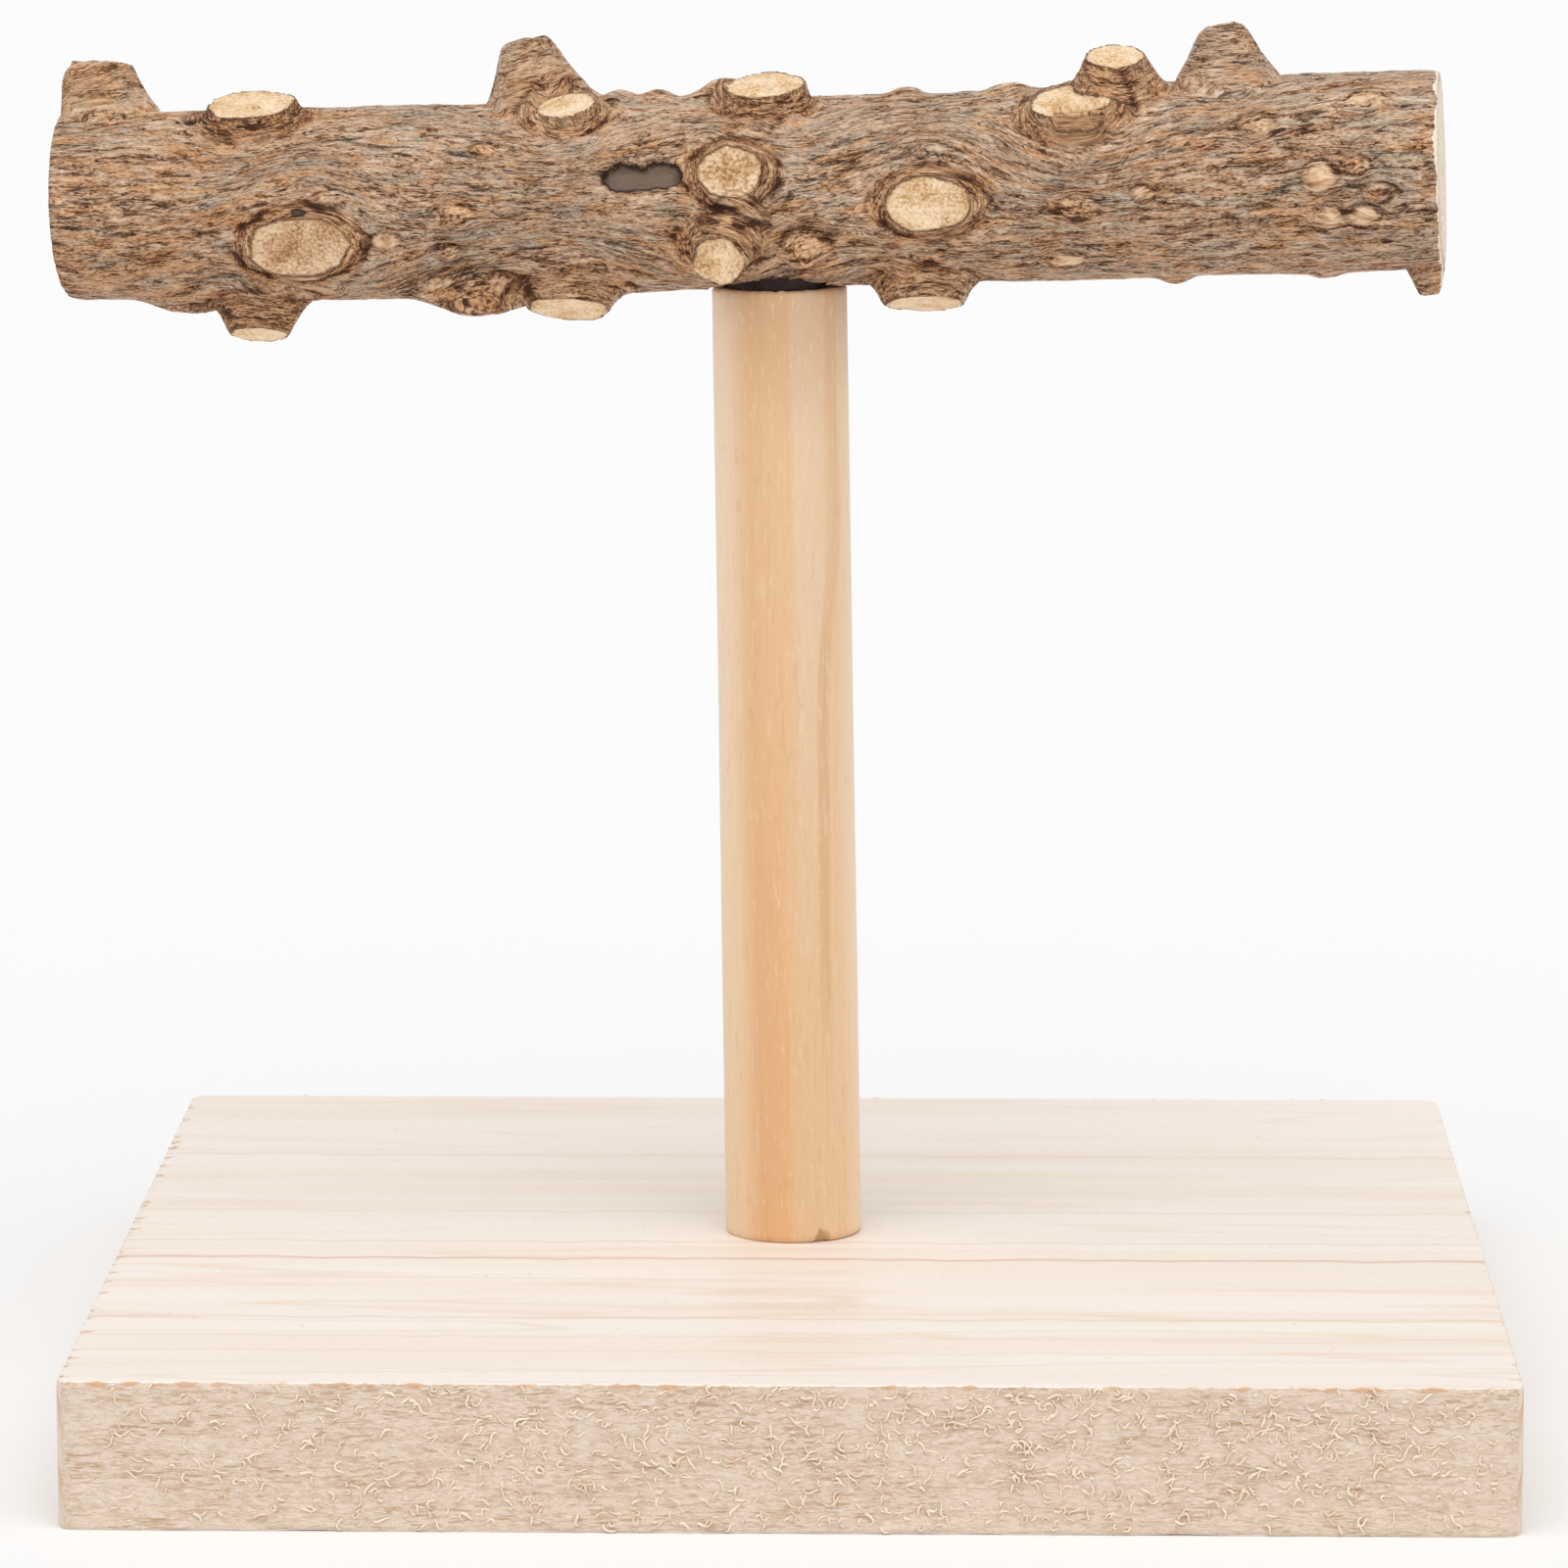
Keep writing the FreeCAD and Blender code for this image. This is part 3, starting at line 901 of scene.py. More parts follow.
@dataclass(frozen=True)
class Stub:
    """A twig that was cut short. Widths and reach are shares of the branch's thickness.

    Args:
        along: place from the branch's left end, as a share of its length.
        side: degrees round the branch, 0 at the front and 90 on top.
        reach: from the branch's axis to the middle of the cut.
        long: width of the bare cut along the branch.
        wide: width of the bare cut round the branch.
        root: width where the stub leaves the branch.
        tilt: degrees that the stub turns further round the branch.
        lean: degrees that the stub leans to the right.
        slope: degrees that the cut tips to the right of square.
        nod: degrees that the cut tips further round the branch than the stub.
        flare: how late the sides spread, 1 for straight sides.
        lip: height of the bark ring round the cut, in millimetres.
        groove: depth of the crack round the ring, in millimetres.
        mound: height of the swelling that the stub stands on, in millimetres.
        collar_shade: painted shade on the bark round its cut, 0 for none.
        bank: how steeply bark that stands over the cut rises round it, 0 where it stays as it is.
        age: how far the cut has darkened, 0 for fresh wood and 1 for old.
        top: how it ends.
    """

    along: float
    side: float
    reach: float
    long: float
    wide: float
    root: float
    tilt: float = 0.0
    lean: float = 0.0
    slope: float = 0.0
    nod: float = 0.0
    flare: float = 2.0
    lip: float = 0.0
    groove: float = 0.0
    mound: float = 0.0
    collar_shade: float = 0.0
    bank: float = 2.2
    age: float = 0.0
    top: Top = Top.SAWN


@dataclass(frozen=True)
class Spot:
    """A small mark in the bark: a knot, a swelling or a hollow. Sizes are in millimetres.

    Args:
        along: place from the branch's left end, as a share of its length.
        side: degrees round the branch, 0 at the front and 90 on top.
        long: width along the branch.
        wide: width round the branch.
        rise: height over the bark, below it if negative.
    """

    along: float
    side: float
    long: float
    wide: float
    rise: float


@dataclass
class Skin:
    """The branch's surface while it is worked, one value for each point of its grid."""

    along: Array
    side: Array
    lift: Array
    radius: Array

    def __post_init__(self) -> None:
        """Starts as a plain log with no marks on it."""
        count = len(self.along)
        self.grain, self.ring = np.zeros((2, count, 3))
        self.shift, self.turned, self.age, self.relief, self.collar, self.dip = np.zeros((6, count))
        self.cut, self.knot, self.hollow, self.pared = np.full((4, count), FAR)

    def rays(self) -> Array:
        """Directions out of the axis, one for each point."""
        return joined(0.0, -np.cos(self.side), np.sin(self.side))

    def starts(self) -> Array:
        """Places on the axis, one for each point."""
        return joined(self.along, 0.0, self.lift)

    def round_places(self, along: Array, scale: float) -> Array:
        """Places for noise that runs on round the branch."""
        return joined(along, *polar(self.side, scale))

    def offsets(self, middle: float, side: float, radius: float) -> Pair:
        """Distances along and round the branch from a place on it."""
        swing = (self.side - math.radians(side) + math.pi) % (2 * math.pi) - math.pi
        return self.along - middle, swing * radius


class Twig:
    """One stub while it grows out of the branch, with a value for each point of the skin near it."""

    NEAR = 0.6
    FACING = 0.2
    SEARCH_STEPS = 14
    RING_PLACES = 13.0
    EDGE_ROUGHNESS = 0.13
    NICK_DEPTH = 0.06
    BANK_REACH = 2.5
    LIP_PLACE = 0.8
    LIP_WIDTH = 0.55
    CRACK_WIDTH = 0.9
    FINE_CRACK_WIDTH = 0.16
    CRACK_SHADE = 4.5
    SAWN_ROOT = 0.9
    BARKED_ROOT = 2.0
    BARKED_TIP = 1.3

    def __init__(self, branch: "Branch", skin: Skin, number: int, stub: Stub) -> None:
        """Finds the points near the stub, and where the ray out of the axis through each meets its cut.

        Args:
            branch: the branch that it grows on.
            skin: the branch's surface.
            number: the stub's place in the list, which sets its noise apart.
            stub: the stub.
        """
        self.skin, self.number, self.stub, self.rind = skin, number, stub, branch.rind
        self.sawn = stub.top is Top.SAWN
        shares = (stub.reach, stub.long, stub.wide, stub.root)
        reach, self.long, self.wide, self.root = (share * branch.thickness for share in shares)
        self.collar = (self.root - self.long) / 2
        self.drop = max(reach - branch.thickness / 2, 0.0) + branch.stub_sink
        self.trunk = outward(stub.side + stub.tilt, stub.lean)
        facing = outward(stub.side + stub.tilt + stub.nod, stub.lean + stub.slope)
        self.centre = (branch.left + stub.along * branch.length) * RUN + reach * outward(stub.side, 0)
        across = RUN - (RUN @ self.trunk) * self.trunk
        self.across = across / np.linalg.norm(across)
        self.upward = np.cross(self.trunk, self.across)
        x, y = branch.around(skin, stub.along, stub.side)
        branch.part_grain(skin, x, y, 0.5 * self.root)
        skin.radius += stub.mound * np.exp(-1.6 * (np.hypot(x, y) / (0.5 * self.root)) ** 2)
        close = (np.abs(x) < self.root) & (np.abs(y) < branch.thickness * self.NEAR)
        self.near = np.flatnonzero(close & (skin.rays() @ facing > self.FACING))
        self.rays, self.starts = skin.rays()[self.near], skin.starts()[self.near]
        self.log = skin.radius[self.near]
        self.plane = (self.centre - self.starts) @ facing / (self.rays @ facing)
        self.face_x, self.face_y, _ = self.spread(self.plane)
        self.swing = np.arctan2(self.face_y / self.wide, self.face_x / self.long)
        self.circle = joined(*polar(self.swing, 1.4), number * 5.3)
        nicks = noise(self.circle * 2.6, Seed.STUB_NICKS)
        edge = noise(self.circle, Seed.STUB_EDGE)
        self.ragged = 1 + self.EDGE_ROUGHNESS * edge + self.NICK_DEPTH * nicks
        flat = np.hypot(self.face_x, self.face_y)
        share = np.hypot(2 * self.face_x / self.long, 2 * self.face_y / self.wide) / self.ragged
        self.edge = flat - flat / np.maximum(share, TINY)
        self.stays = (self.log > self.plane) & (stub.bank == 0)

    def spread(self, distance: Array) -> tuple[Array, ...]:
        """Places along and round the branch, and depth under the cut, at a distance out along each ray."""
        away = self.starts + self.rays * distance[:, None] - self.centre
        return away @ self.across, away @ self.upward, -(away @ self.trunk)

    def inside(self, distance: Array) -> Array:
        """Whether the point at a distance out along each ray is within the stub's flared side."""
        x, y, depth = self.spread(distance)
        flare = np.clip(depth / self.drop, 0, 1) ** self.stub.flare
        rounding = np.sqrt(1 - (1 - np.clip(depth / self.BARKED_TIP, 0, 1)) ** 2)
        worn = 1.0 if self.sawn else 0.72 + 0.28 * rounding
        half_long, half_wide = (
            (size / 2 + self.rind + ((self.root - size) / 2 - self.rind) * flare) * self.ragged * worn
            for size in (self.long, self.wide)
        )
        return np.hypot(x / half_long, y / half_wide) < 1

    def grow(self) -> None:
        """Raises the stub out of the log, cuts it, cracks the bark round it and marks wood and bark."""
        low, high = self.log.copy(), np.maximum(self.plane, self.log)
        within = self.inside(low)
        for _ in range(self.SEARCH_STEPS):
            half = (low + high) / 2
            inside = self.inside(half)
            low, high = np.where(inside, half, low), np.where(inside, high, half)
        side = np.where(within, low, 0.0)
        width = self.SAWN_ROOT if self.sawn else self.BARKED_ROOT
        radius = np.where(within, smooth_max(self.log, side, width), self.log)
        cut = self.skin.cut[self.near]
        if self.sawn and self.stub.bank:
            slope = self.plane + self.stub.bank * np.maximum(self.edge - self.rind, 0)
            bank = np.where(self.edge < self.BANK_REACH, slope, radius)
            cut = np.where(bank < radius, np.minimum(cut, bank - radius), cut)
            radius = np.minimum(radius, bank)
        lip = self.stub.lip * bell(self.edge - self.LIP_PLACE, self.LIP_WIDTH)
        radius = radius + lip * (self.edge > 0)
        places = self.spread(radius)
        crack = self.crack(places[0], places[1])
        radius = radius - crack
        covered = within & (side > self.log + 0.05) & (self.edge > 0)
        cut = np.where(covered, np.minimum(cut, self.log - side), cut)
        if self.sawn:
            radius = np.where((self.edge < 0) & ~self.stays, self.plane, radius)
            face = -self.edge if self.stub.bank else np.minimum(-self.edge, 2 * (self.plane - self.log))
            cut = np.maximum(cut, face)
        self.skin.cut[self.near] = cut
        self.skin.radius[self.near] = radius
        self.skin.relief[self.near] -= self.CRACK_SHADE * crack
        share = 1 - smooth_step(self.edge, 0.45 * self.collar, 1.3 * self.collar)
        share = np.maximum(share, within * smooth_step(side - self.log, 0.2, 1.2))
        self.mark(np.where(self.stays, 0.0, share), covered, places)

    def crack(self, x: Array, y: Array) -> Array:
        """Depth of the broken crack round the stub's root and of the finer one round its cut."""
        reach = self.wide / 2 + 0.6 * self.collar
        eye = (np.abs(2 * x / self.root) ** 1.5 + np.abs(y / reach) ** 1.5) ** (1 / 1.5)
        wavy = eye + 0.10 * noise(self.circle * 2.1, Seed.STUB_EYE)
        broken = smooth_step(noise(self.circle * 1.7, Seed.STUB_CRACK), -0.45, 0.25)
        outer = broken * bell((wavy - 1) * self.root, self.CRACK_WIDTH)
        fine = bell(self.edge - 0.45 * self.collar, self.FINE_CRACK_WIDTH)
        inner = 0.45 * (1 - 0.7 * broken) * fine
        return self.stub.groove * (outer + inner) * (self.edge > 0.15)

    def mark(self, share: Array, covered: Array, places: tuple[Array, ...]) -> None:
        """Turns the grain round the stub, paints shade on its bark and reddens it.

        Args:
            share: how far the grain runs round the stub, from 0 to 1.
            covered: whether the stub's side hides what was there before.
            places: places along and round the branch, and depth under the cut.
        """
        x, y, depth = places
        spokes = (np.hypot(2 * x / self.long, 2 * y / self.wide) - 1) * (self.long + self.wide) / 4
        outwards = spokes + 0.9 * depth if self.sawn else 1.5 * depth
        number = self.number * self.RING_PLACES
        round_it = joined(np.abs(self.swing) * np.hypot(x, y), outwards, number + 0.6 * np.sin(self.swing))
        bare = (self.edge < 0) & self.sawn
        ring = np.where(bare[:, None], joined(self.face_x, self.face_y, number), round_it)
        skin, near = self.skin, self.near
        wins = ((share > skin.turned[near]) | covered) & ~self.stays
        skin.ring[near[wins]] = ring[wins]
        skin.age[near[wins]] = self.stub.age
        skin.turned[near] = np.maximum(skin.turned[near], share)
        fade = 1 - smooth_step(self.edge, 0.5 * self.collar, 1.3 * self.collar)
        # Painted shade: the bark round the stub is darkened by the stub's own amount.
        skin.relief[near] -= self.stub.collar_shade * fade
        skin.collar[near] = np.maximum(skin.collar[near], fade * (1.0 if self.sawn else 0.45))


@dataclass
class Branch:
    """The perch: a length of branch with its bark, its sawn twig stubs and the drilled seat under it."""

    length: float = 151.0
    thickness: float = 21.2
    bark: float = 0.9
    seat_share: float = 0.522
    seat_sink: float = 0.4
    seat_gap: float = 0.1
    seat_radius: float = 7.75
    pocket_radius: float = 6.5
    pocket_depth: float = 2.6
    brow_place: float = 0.8
    brow_half: float = 6.5
    brow_turn: float = 35.0
    brow_spread: float = 20.0
    brow_rise: float = 0.9
    heading: float = -5.5
    rise: float = 1.55
    rows: int = 440
    columns: int = 216
    cap_rings: int = 9
    cap_reach: float = 0.93
    cap_middles: tuple[tuple[float, float], ...] = ((0.14, 0.86), (0.44, 0.86))
    cap_span: float = 110.0
    end_places: tuple[float, float] = (400.0, 490.0)
    end_cuts: tuple[float, float] = (0.02, 0.5)
    lump_length: float = 13.0
    lump_rise: float = 0.32
    lump_sink: float = 0.1
    sway_size: Triple = (4.0, 1.8, 1.8)
    plate_size: Triple = (3.8, 0.90, 0.90)
    strand_size: Triple = (1.9, 0.52, 0.52)
    broad_size: Triple = (10.0, 2.8, 2.8)
    roughness: float = 0.24
    knot_crack: float = 0.22
    jag_length: float = 1.1
    stub_sink: float = 2.4
    rind: float = 0.22
    rim_wear: float = 0.35
    rim_reach: float = 0.5
    fray_reach: float = 0.45
    fray_depth: float = 0.5
    pale_reach: float = 1.6
    end_ages: tuple[float, float] = (0.05, -0.6)
    sections: tuple[Triple, ...] = (
        (0.000, 0.985, 0.044),
        (0.120, 0.988, 0.022),
        (0.240, 0.994, 0.010),
        (0.440, 1.000, 0.008),
        (0.570, 0.980, -0.006),
        (0.710, 0.988, -0.008),
        (0.900, 1.015, 0.003),
        (1.000, 1.020, 0.005),
    )
    stubs: tuple[Stub, ...] = (
        Stub(0.0225, 99, 0.786, 0.310, 0.300, 0.600, lean=-8, slope=14, flare=1.2, top=Top.BARKED),
        Stub(0.1425, 76, 0.565, 0.430, 0.415, 0.700, tilt=-1, mound=0.6, groove=0.15, collar_shade=0.9, age=0.08),
        Stub(0.340, 97, 0.822, 0.240, 0.240, 0.680, lean=-11, flare=1.3, top=Top.BARKED),
        Stub(
            0.376, 62, 0.565, 0.290, 0.267, 0.540, tilt=-15, slope=-8, nod=24,
            groove=0.35, mound=1.1, age=0.1,
        ),
        Stub(0.518, 74, 0.582, 0.400, 0.380, 0.620, tilt=1, lean=-1, groove=0.25, mound=0.4, collar_shade=0.45),
        Stub(
            0.486, -28, 0.635, 0.255, 0.228, 0.510, tilt=-13, lean=-8, nod=26,
            flare=1.5, groove=0.4, age=0.35,
        ),
        Stub(0.497, 16, 0.535, 0.325, 0.265, 0.540, lip=0.30, groove=0.40, mound=0.3, age=0.72),
        Stub(0.637, -5.5, 0.510, 0.430, 0.280, 0.640, lip=0.30, groove=0.35, age=0.30),
        Stub(0.770, 74, 0.668, 0.292, 0.290, 0.640, tilt=-4, flare=1.35, collar_shade=0.4),
        Stub(
            0.7405, 51, 0.562, 0.415, 0.380, 0.640, lean=-3, nod=19,
            flare=1.4, groove=0.3, mound=0.5, bank=0, age=0.1,
        ),
        Stub(0.846, 97, 0.778, 0.200, 0.200, 0.650, lean=-2, slope=-8, flare=1.1, top=Top.BARKED),
        Stub(
            0.140, -80, 0.654, 0.295, 0.285, 0.660, tilt=3, nod=7, lean=-3,
            flare=1.3, groove=0.2, mound=0.3, collar_shade=0.5,
        ),
        Stub(
            0.370, -72, 0.584, 0.410, 0.395, 0.760, tilt=4, lean=-2,
            flare=1.3, groove=0.4, mound=0.9, age=0.1,
        ),
        Stub(0.628, -76, 0.604, 0.385, 0.375, 0.680, tilt=3, flare=1.3, groove=0.3, mound=0.3, age=0.1),
        Stub(0.989, -86, 0.632, 0.110, 0.110, 0.250, lean=4, flare=1.3, top=Top.BARKED),
        Stub(0.181, -20, 0.492, 0.520, 0.325, 0.740, lip=0.30, groove=0.5, mound=0.2, age=0.85),
        Stub(0.255, 162, 0.590, 0.320, 0.320, 0.580, tilt=4, mound=0.4, age=0.1),
        Stub(0.440, 188, 0.535, 0.390, 0.330, 0.580, lip=0.30, groove=0.25, mound=0.3, age=0.5),
        Stub(0.585, 160, 0.610, 0.290, 0.290, 0.560, tilt=-5, lean=5, mound=0.4),
        Stub(0.700, 207, 0.540, 0.370, 0.320, 0.560, tilt=-6, lip=0.25, groove=0.25, mound=0.4, age=0.3),
        Stub(0.905, 170, 0.590, 0.310, 0.310, 0.580, lean=3, mound=0.4, age=0.2),
        Stub(0.085, 198, 0.540, 0.370, 0.310, 0.560, lean=-3, lip=0.3, groove=0.3, age=0.7),
    )
    swellings: tuple[Spot, ...] = (
        Spot(0.089, -84, 9.5, 9.0, 1.6), Spot(0.301, -84, 12.0, 11.0, 2.3),
        Spot(0.800, 232, 9.0, 9.0, 1.2), Spot(0.487, 94, 6.6, 6.0, 2.1), Spot(0.410, 94, 4.0, 5.0, 0.8),
        Spot(0.437, 92, 3.6, 5.0, 0.9), Spot(0.619, 88, 4.5, 5.0, 0.9), Spot(0.692, 84, 5.0, 5.0, 0.8),
        Spot(0.808, -86, 4.0, 5.0, 0.8), Spot(0.915, -86, 3.6, 5.0, 0.6),
    )
    pale_knots: tuple[Spot, ...] = (
        Spot(0.950, 50.7, 4.1, 2.1, 0.3), Spot(0.916, 2.2, 3.7, 3.5, 0.5),
        Spot(0.922, -21.5, 3.0, 2.3, 0.3), Spot(0.947, -22.2, 3.9, 2.4, 0.3),
        Spot(0.790, -3.0, 2.6, 1.5, 0.3), Spot(0.730, -49.8, 4.7, 2.4, 0.3),
        Spot(0.244, -19.2, 3.0, 1.8, 0.3), Spot(0.620, 128, 4.0, 2.4, 0.3),
        Spot(0.330, 205, 3.6, 2.2, 0.3), Spot(0.840, 150, 3.4, 2.6, 0.4),
    )
    brown_knots: tuple[Spot, ...] = (
        Spot(0.871, 35.3, 3.9, 3.2, 0.6), Spot(0.743, -10.4, 4.3, 2.6, 0.5),
        Spot(0.958, -7.5, 3.7, 2.0, 0.4), Spot(0.943, 8.2, 2.8, 1.9, 0.4),
        Spot(0.295, -4.4, 4.7, 2.1, 0.5), Spot(0.289, -29.1, 2.8, 2.1, 0.4),
        Spot(0.317, 35.4, 2.6, 1.7, 0.3), Spot(0.547, -32.3, 5.2, 4.8, 1.1),
        Spot(0.301, -66, 13.0, 8.0, 0.1), Spot(0.520, 140, 4.4, 2.6, 0.5),
        Spot(0.160, 150, 4.0, 2.8, 0.5),
    )
    hollows: tuple[Spot, ...] = (
        Spot(0.419, 15.5, 4.7, 3.4, -1.5), Spot(0.4335, 12.6, 4.6, 2.3, -1.5),
        Spot(0.4465, 16.2, 4.5, 3.4, -1.5), Spot(0.099, 65.0, 2.8, 1.2, -1.0),
        Spot(0.183, -0.4, 1.9, 0.8, -0.7),
    )
    pared: Spot = Spot(0.747, 34.0, 5.3, 4.6, 0.3)

    def __post_init__(self) -> None:
        """Works out the branch's left end from where it sits on the post."""
        self.left = -self.seat_share * self.length
        self.axis_height = self.thickness / 2 - self.seat_sink + self.seat_gap

    def frame(self, seat: Array, post_axis: Array) -> Pair:
        """Where the branch lies on its post.

        Args:
            seat: middle of the post's top.
            post_axis: direction up the post.

        Returns:
            The branch's turn as a 3 by 3 array, and its middle over the post.
        """
        turned = upright(post_axis) @ turn("Z", self.heading) @ turn("Y", -self.rise)
        return turned, seat + post_axis * self.axis_height

    def around(self, skin: Skin, along: float, side: float) -> Pair:
        """Distances along and round the branch from a place at a share of its length."""
        return skin.offsets(self.left + along * self.length, side, self.thickness / 2)

    def log(self) -> Skin:
        """The branch as a plain, slightly wavy log."""
        along = np.linspace(self.left, self.left + self.length, self.rows + 1)
        s, a = (grid.ravel() for grid in np.meshgrid(along, full_turn(self.columns), indexing="ij"))
        places, widths, lifts = np.array(self.sections).T
        share = (s - self.left) / self.length
        radius = np.interp(share, places, widths) * self.thickness / 2
        skin = Skin(s, a, np.interp(share, places, lifts) * self.thickness, radius)
        lumps = noise(skin.round_places(s / self.lump_length, 1.5), Seed.LUMPS)
        skin.radius += self.lump_rise * lumps - self.lump_sink
        return skin

    def part_grain(self, skin: Skin, x: Array, y: Array, radius: float) -> None:
        """Bends the grain round something of that radius, as water parts round a stone."""
        away = x * x + y * y
        skin.shift -= 0.65 * y * radius**2 / np.maximum(away, radius**2) * np.exp(-away / (3 * radius**2))

    def add_swelling(self, skin: Skin, spot: Spot) -> None:
        """Raises a rounded bump and lets the grain run round it."""
        x, y = self.around(skin, spot.along, spot.side)
        away = (x / spot.long * 2) ** 2 + (y / spot.wide * 2) ** 2
        skin.radius += spot.rise * np.exp(-1.3 * away**1.3)
        skin.collar = np.maximum(skin.collar, 0.6 * np.exp(-away))
        self.part_grain(skin, x, y, 0.35 * spot.long)

    def add_knot(self, skin: Skin, spot: Spot, pale: bool) -> None:
        """Raises a small healed knot with a crack round it.

        Args:
            skin: the branch's surface.
            spot: the knot.
            pale: whether its bare wood shows.
        """
        x, y = self.around(skin, spot.along, spot.side)
        away = np.hypot(2 * x / spot.long, 2 * y / spot.wide)
        brow = 0.35 + 0.65 * smooth_step(y / spot.wide, -0.1, 0.3)
        crack = brow * bell(away - 1.12, 0.16)
        skin.radius += spot.rise * np.clip(1 - away**2, 0, 1) - self.knot_crack * crack
        # Painted shade: the crack round the knot is darkened.
        skin.relief -= 1.5 * crack
        if pale:
            skin.knot = np.maximum(skin.knot, (1 - away) * spot.wide / 2)
        skin.collar = np.maximum(skin.collar, np.clip(1.4 - away, 0, 1))
        self.part_grain(skin, x, y, 0.4 * spot.long)

    def add_hollows(self, skin: Skin) -> None:
        """Breaks flakes of bark away down to a smooth dark floor."""
        jags = skin.round_places(skin.along / self.jag_length, 10)
        ragged = 1 + 0.20 * noise(jags, Seed.JAGS) + 0.14 * noise(jags * 2.3, Seed.JAG_NICKS)
        for spot in self.hollows:
            x, y = self.around(skin, spot.along, spot.side)
            away = np.hypot(2 * x / spot.long, 2 * y / spot.wide) * ragged
            inside = np.maximum((1 - away) * spot.wide / 2, FAR)
            skin.hollow = smooth_max(skin.hollow, inside, 0.12)
            skin.dip = np.minimum(skin.dip, np.where(inside > -0.3, spot.rise, 0.0))
        skin.radius += skin.dip * smooth_step(skin.hollow, -0.08, 0.14)

    def bark_height(self, places: Array) -> Array:
        """Height of the bark's thin wavy plates, from about -1 to 1, with the grain along X."""
        sway = 0.4 * noise(places / self.sway_size, Seed.BARK_SWAY)
        waved = places + sway[:, None] * (0.0, 1.0, 0.7)
        plates = noise(waved / self.plate_size, Seed.BARK_PLATES)
        strands = noise(waved / self.strand_size, Seed.BARK_STRANDS)
        broad = noise(waved / self.broad_size, Seed.BARK_BROAD)
        splits = smooth_step(plates + 0.4 * strands, -0.25, -0.6)
        return 0.55 * plates + 0.5 * strands + 0.4 * broad - 0.6 * splits

    def add_bark(self, skin: Skin) -> None:
        """Runs the grain along the log and raises the bark in thin wavy plates."""
        half = self.thickness / 2
        skin.grain = joined(skin.along, *polar(skin.side + skin.shift / half, half))
        relief = self.bark_height(skin.grain) * (1 - skin.turned)
        relief += self.bark_height(skin.ring) * skin.turned
        bare = np.maximum(smooth_step(skin.cut, -0.5, 0.1), smooth_step(skin.hollow, -0.25, 0.0))
        skin.radius += self.roughness * relief * (1 - bare)
        skin.relief += relief * (1 - bare)

    def pare(self, skin: Skin) -> None:
        """Shaves one flat patch at the front, under a stub."""
        x, y = self.around(skin, self.pared.along, self.pared.side)
        turned = np.cos(skin.side - math.radians(self.pared.side))
        plane = (self.thickness / 2 + self.pared.rise) / np.maximum(turned, 0.3)
        inside = np.minimum(self.pared.long / 2 - np.abs(x), self.pared.wide / 2 - np.abs(y))
        shaved = skin.radius - plane
        flat = (inside > 0) & (shaved > 0)
        skin.radius = np.where(flat, plane, skin.radius)
        skin.pared = np.where(flat, np.minimum(inside, 0.5 * shaved), skin.pared)
        skin.cut = np.where(flat, np.minimum(skin.cut, -shaved), skin.cut)

    def seat(self, skin: Skin) -> None:
        """Swells the underside over the post, flattens its seat, drills the nut's pocket and gives the
        pocket the hollows' dark floor as painted shade.
        """
        x, swing = skin.offsets(self.brow_place, -90.0, 1.0)
        off_brow = (np.abs(np.degrees(swing)) - self.brow_turn) / self.brow_spread
        skin.radius += self.brow_rise * np.exp(-((x / self.brow_half) ** 4) - off_brow**2)
        up = turn("Y", self.rise) @ np.array((0.0, 0.0, 1.0))
        rays, starts = skin.rays(), skin.starts()
        down = rays @ up < -0.45
        slope = np.where(down, rays @ up, -1.0)

        def level(height: float) -> Array:
            """Distance along each ray to a plane square to the post, that high over its top."""
            return (height - self.axis_height - starts @ up) / slope

        def away(distance: Array) -> Array:
            """How far a point on each ray is from the post's axis."""
            place = starts + rays * distance[:, None]
            return np.linalg.norm(place - (place @ up)[:, None] * up, axis=-1)

        lowest = np.minimum(skin.radius, level(self.seat_gap))
        skin.radius = np.where(down & (away(lowest) < self.seat_radius), lowest, skin.radius)
        drilled = down & (away(skin.radius) < self.pocket_radius)
        roof = np.minimum(skin.radius, level(self.seat_gap + self.pocket_depth))
        skin.radius = np.where(drilled, roof, skin.radius)
        # Painted shade: the pocket's wood takes the dark floor colour of the bark's hollows.
        skin.hollow = np.where(drilled, 1.0, skin.hollow)

    def wear_ends(self, skin: Skin) -> None:
        """Softens the rims of both ends and bares the frayed rim of the right one."""
        right = self.left + self.length - skin.along
        nearest = np.minimum(skin.along - self.left, right)
        skin.radius -= self.rim_wear * np.exp(-nearest / self.rim_reach)
        frayed = noise(skin.round_places(right, 4), Seed.FRAY)
        skin.cut = np.maximum(skin.cut, self.fray_reach - right + self.fray_depth * frayed)
        skin.age = np.where(right < self.pale_reach, self.end_ages[1], skin.age)

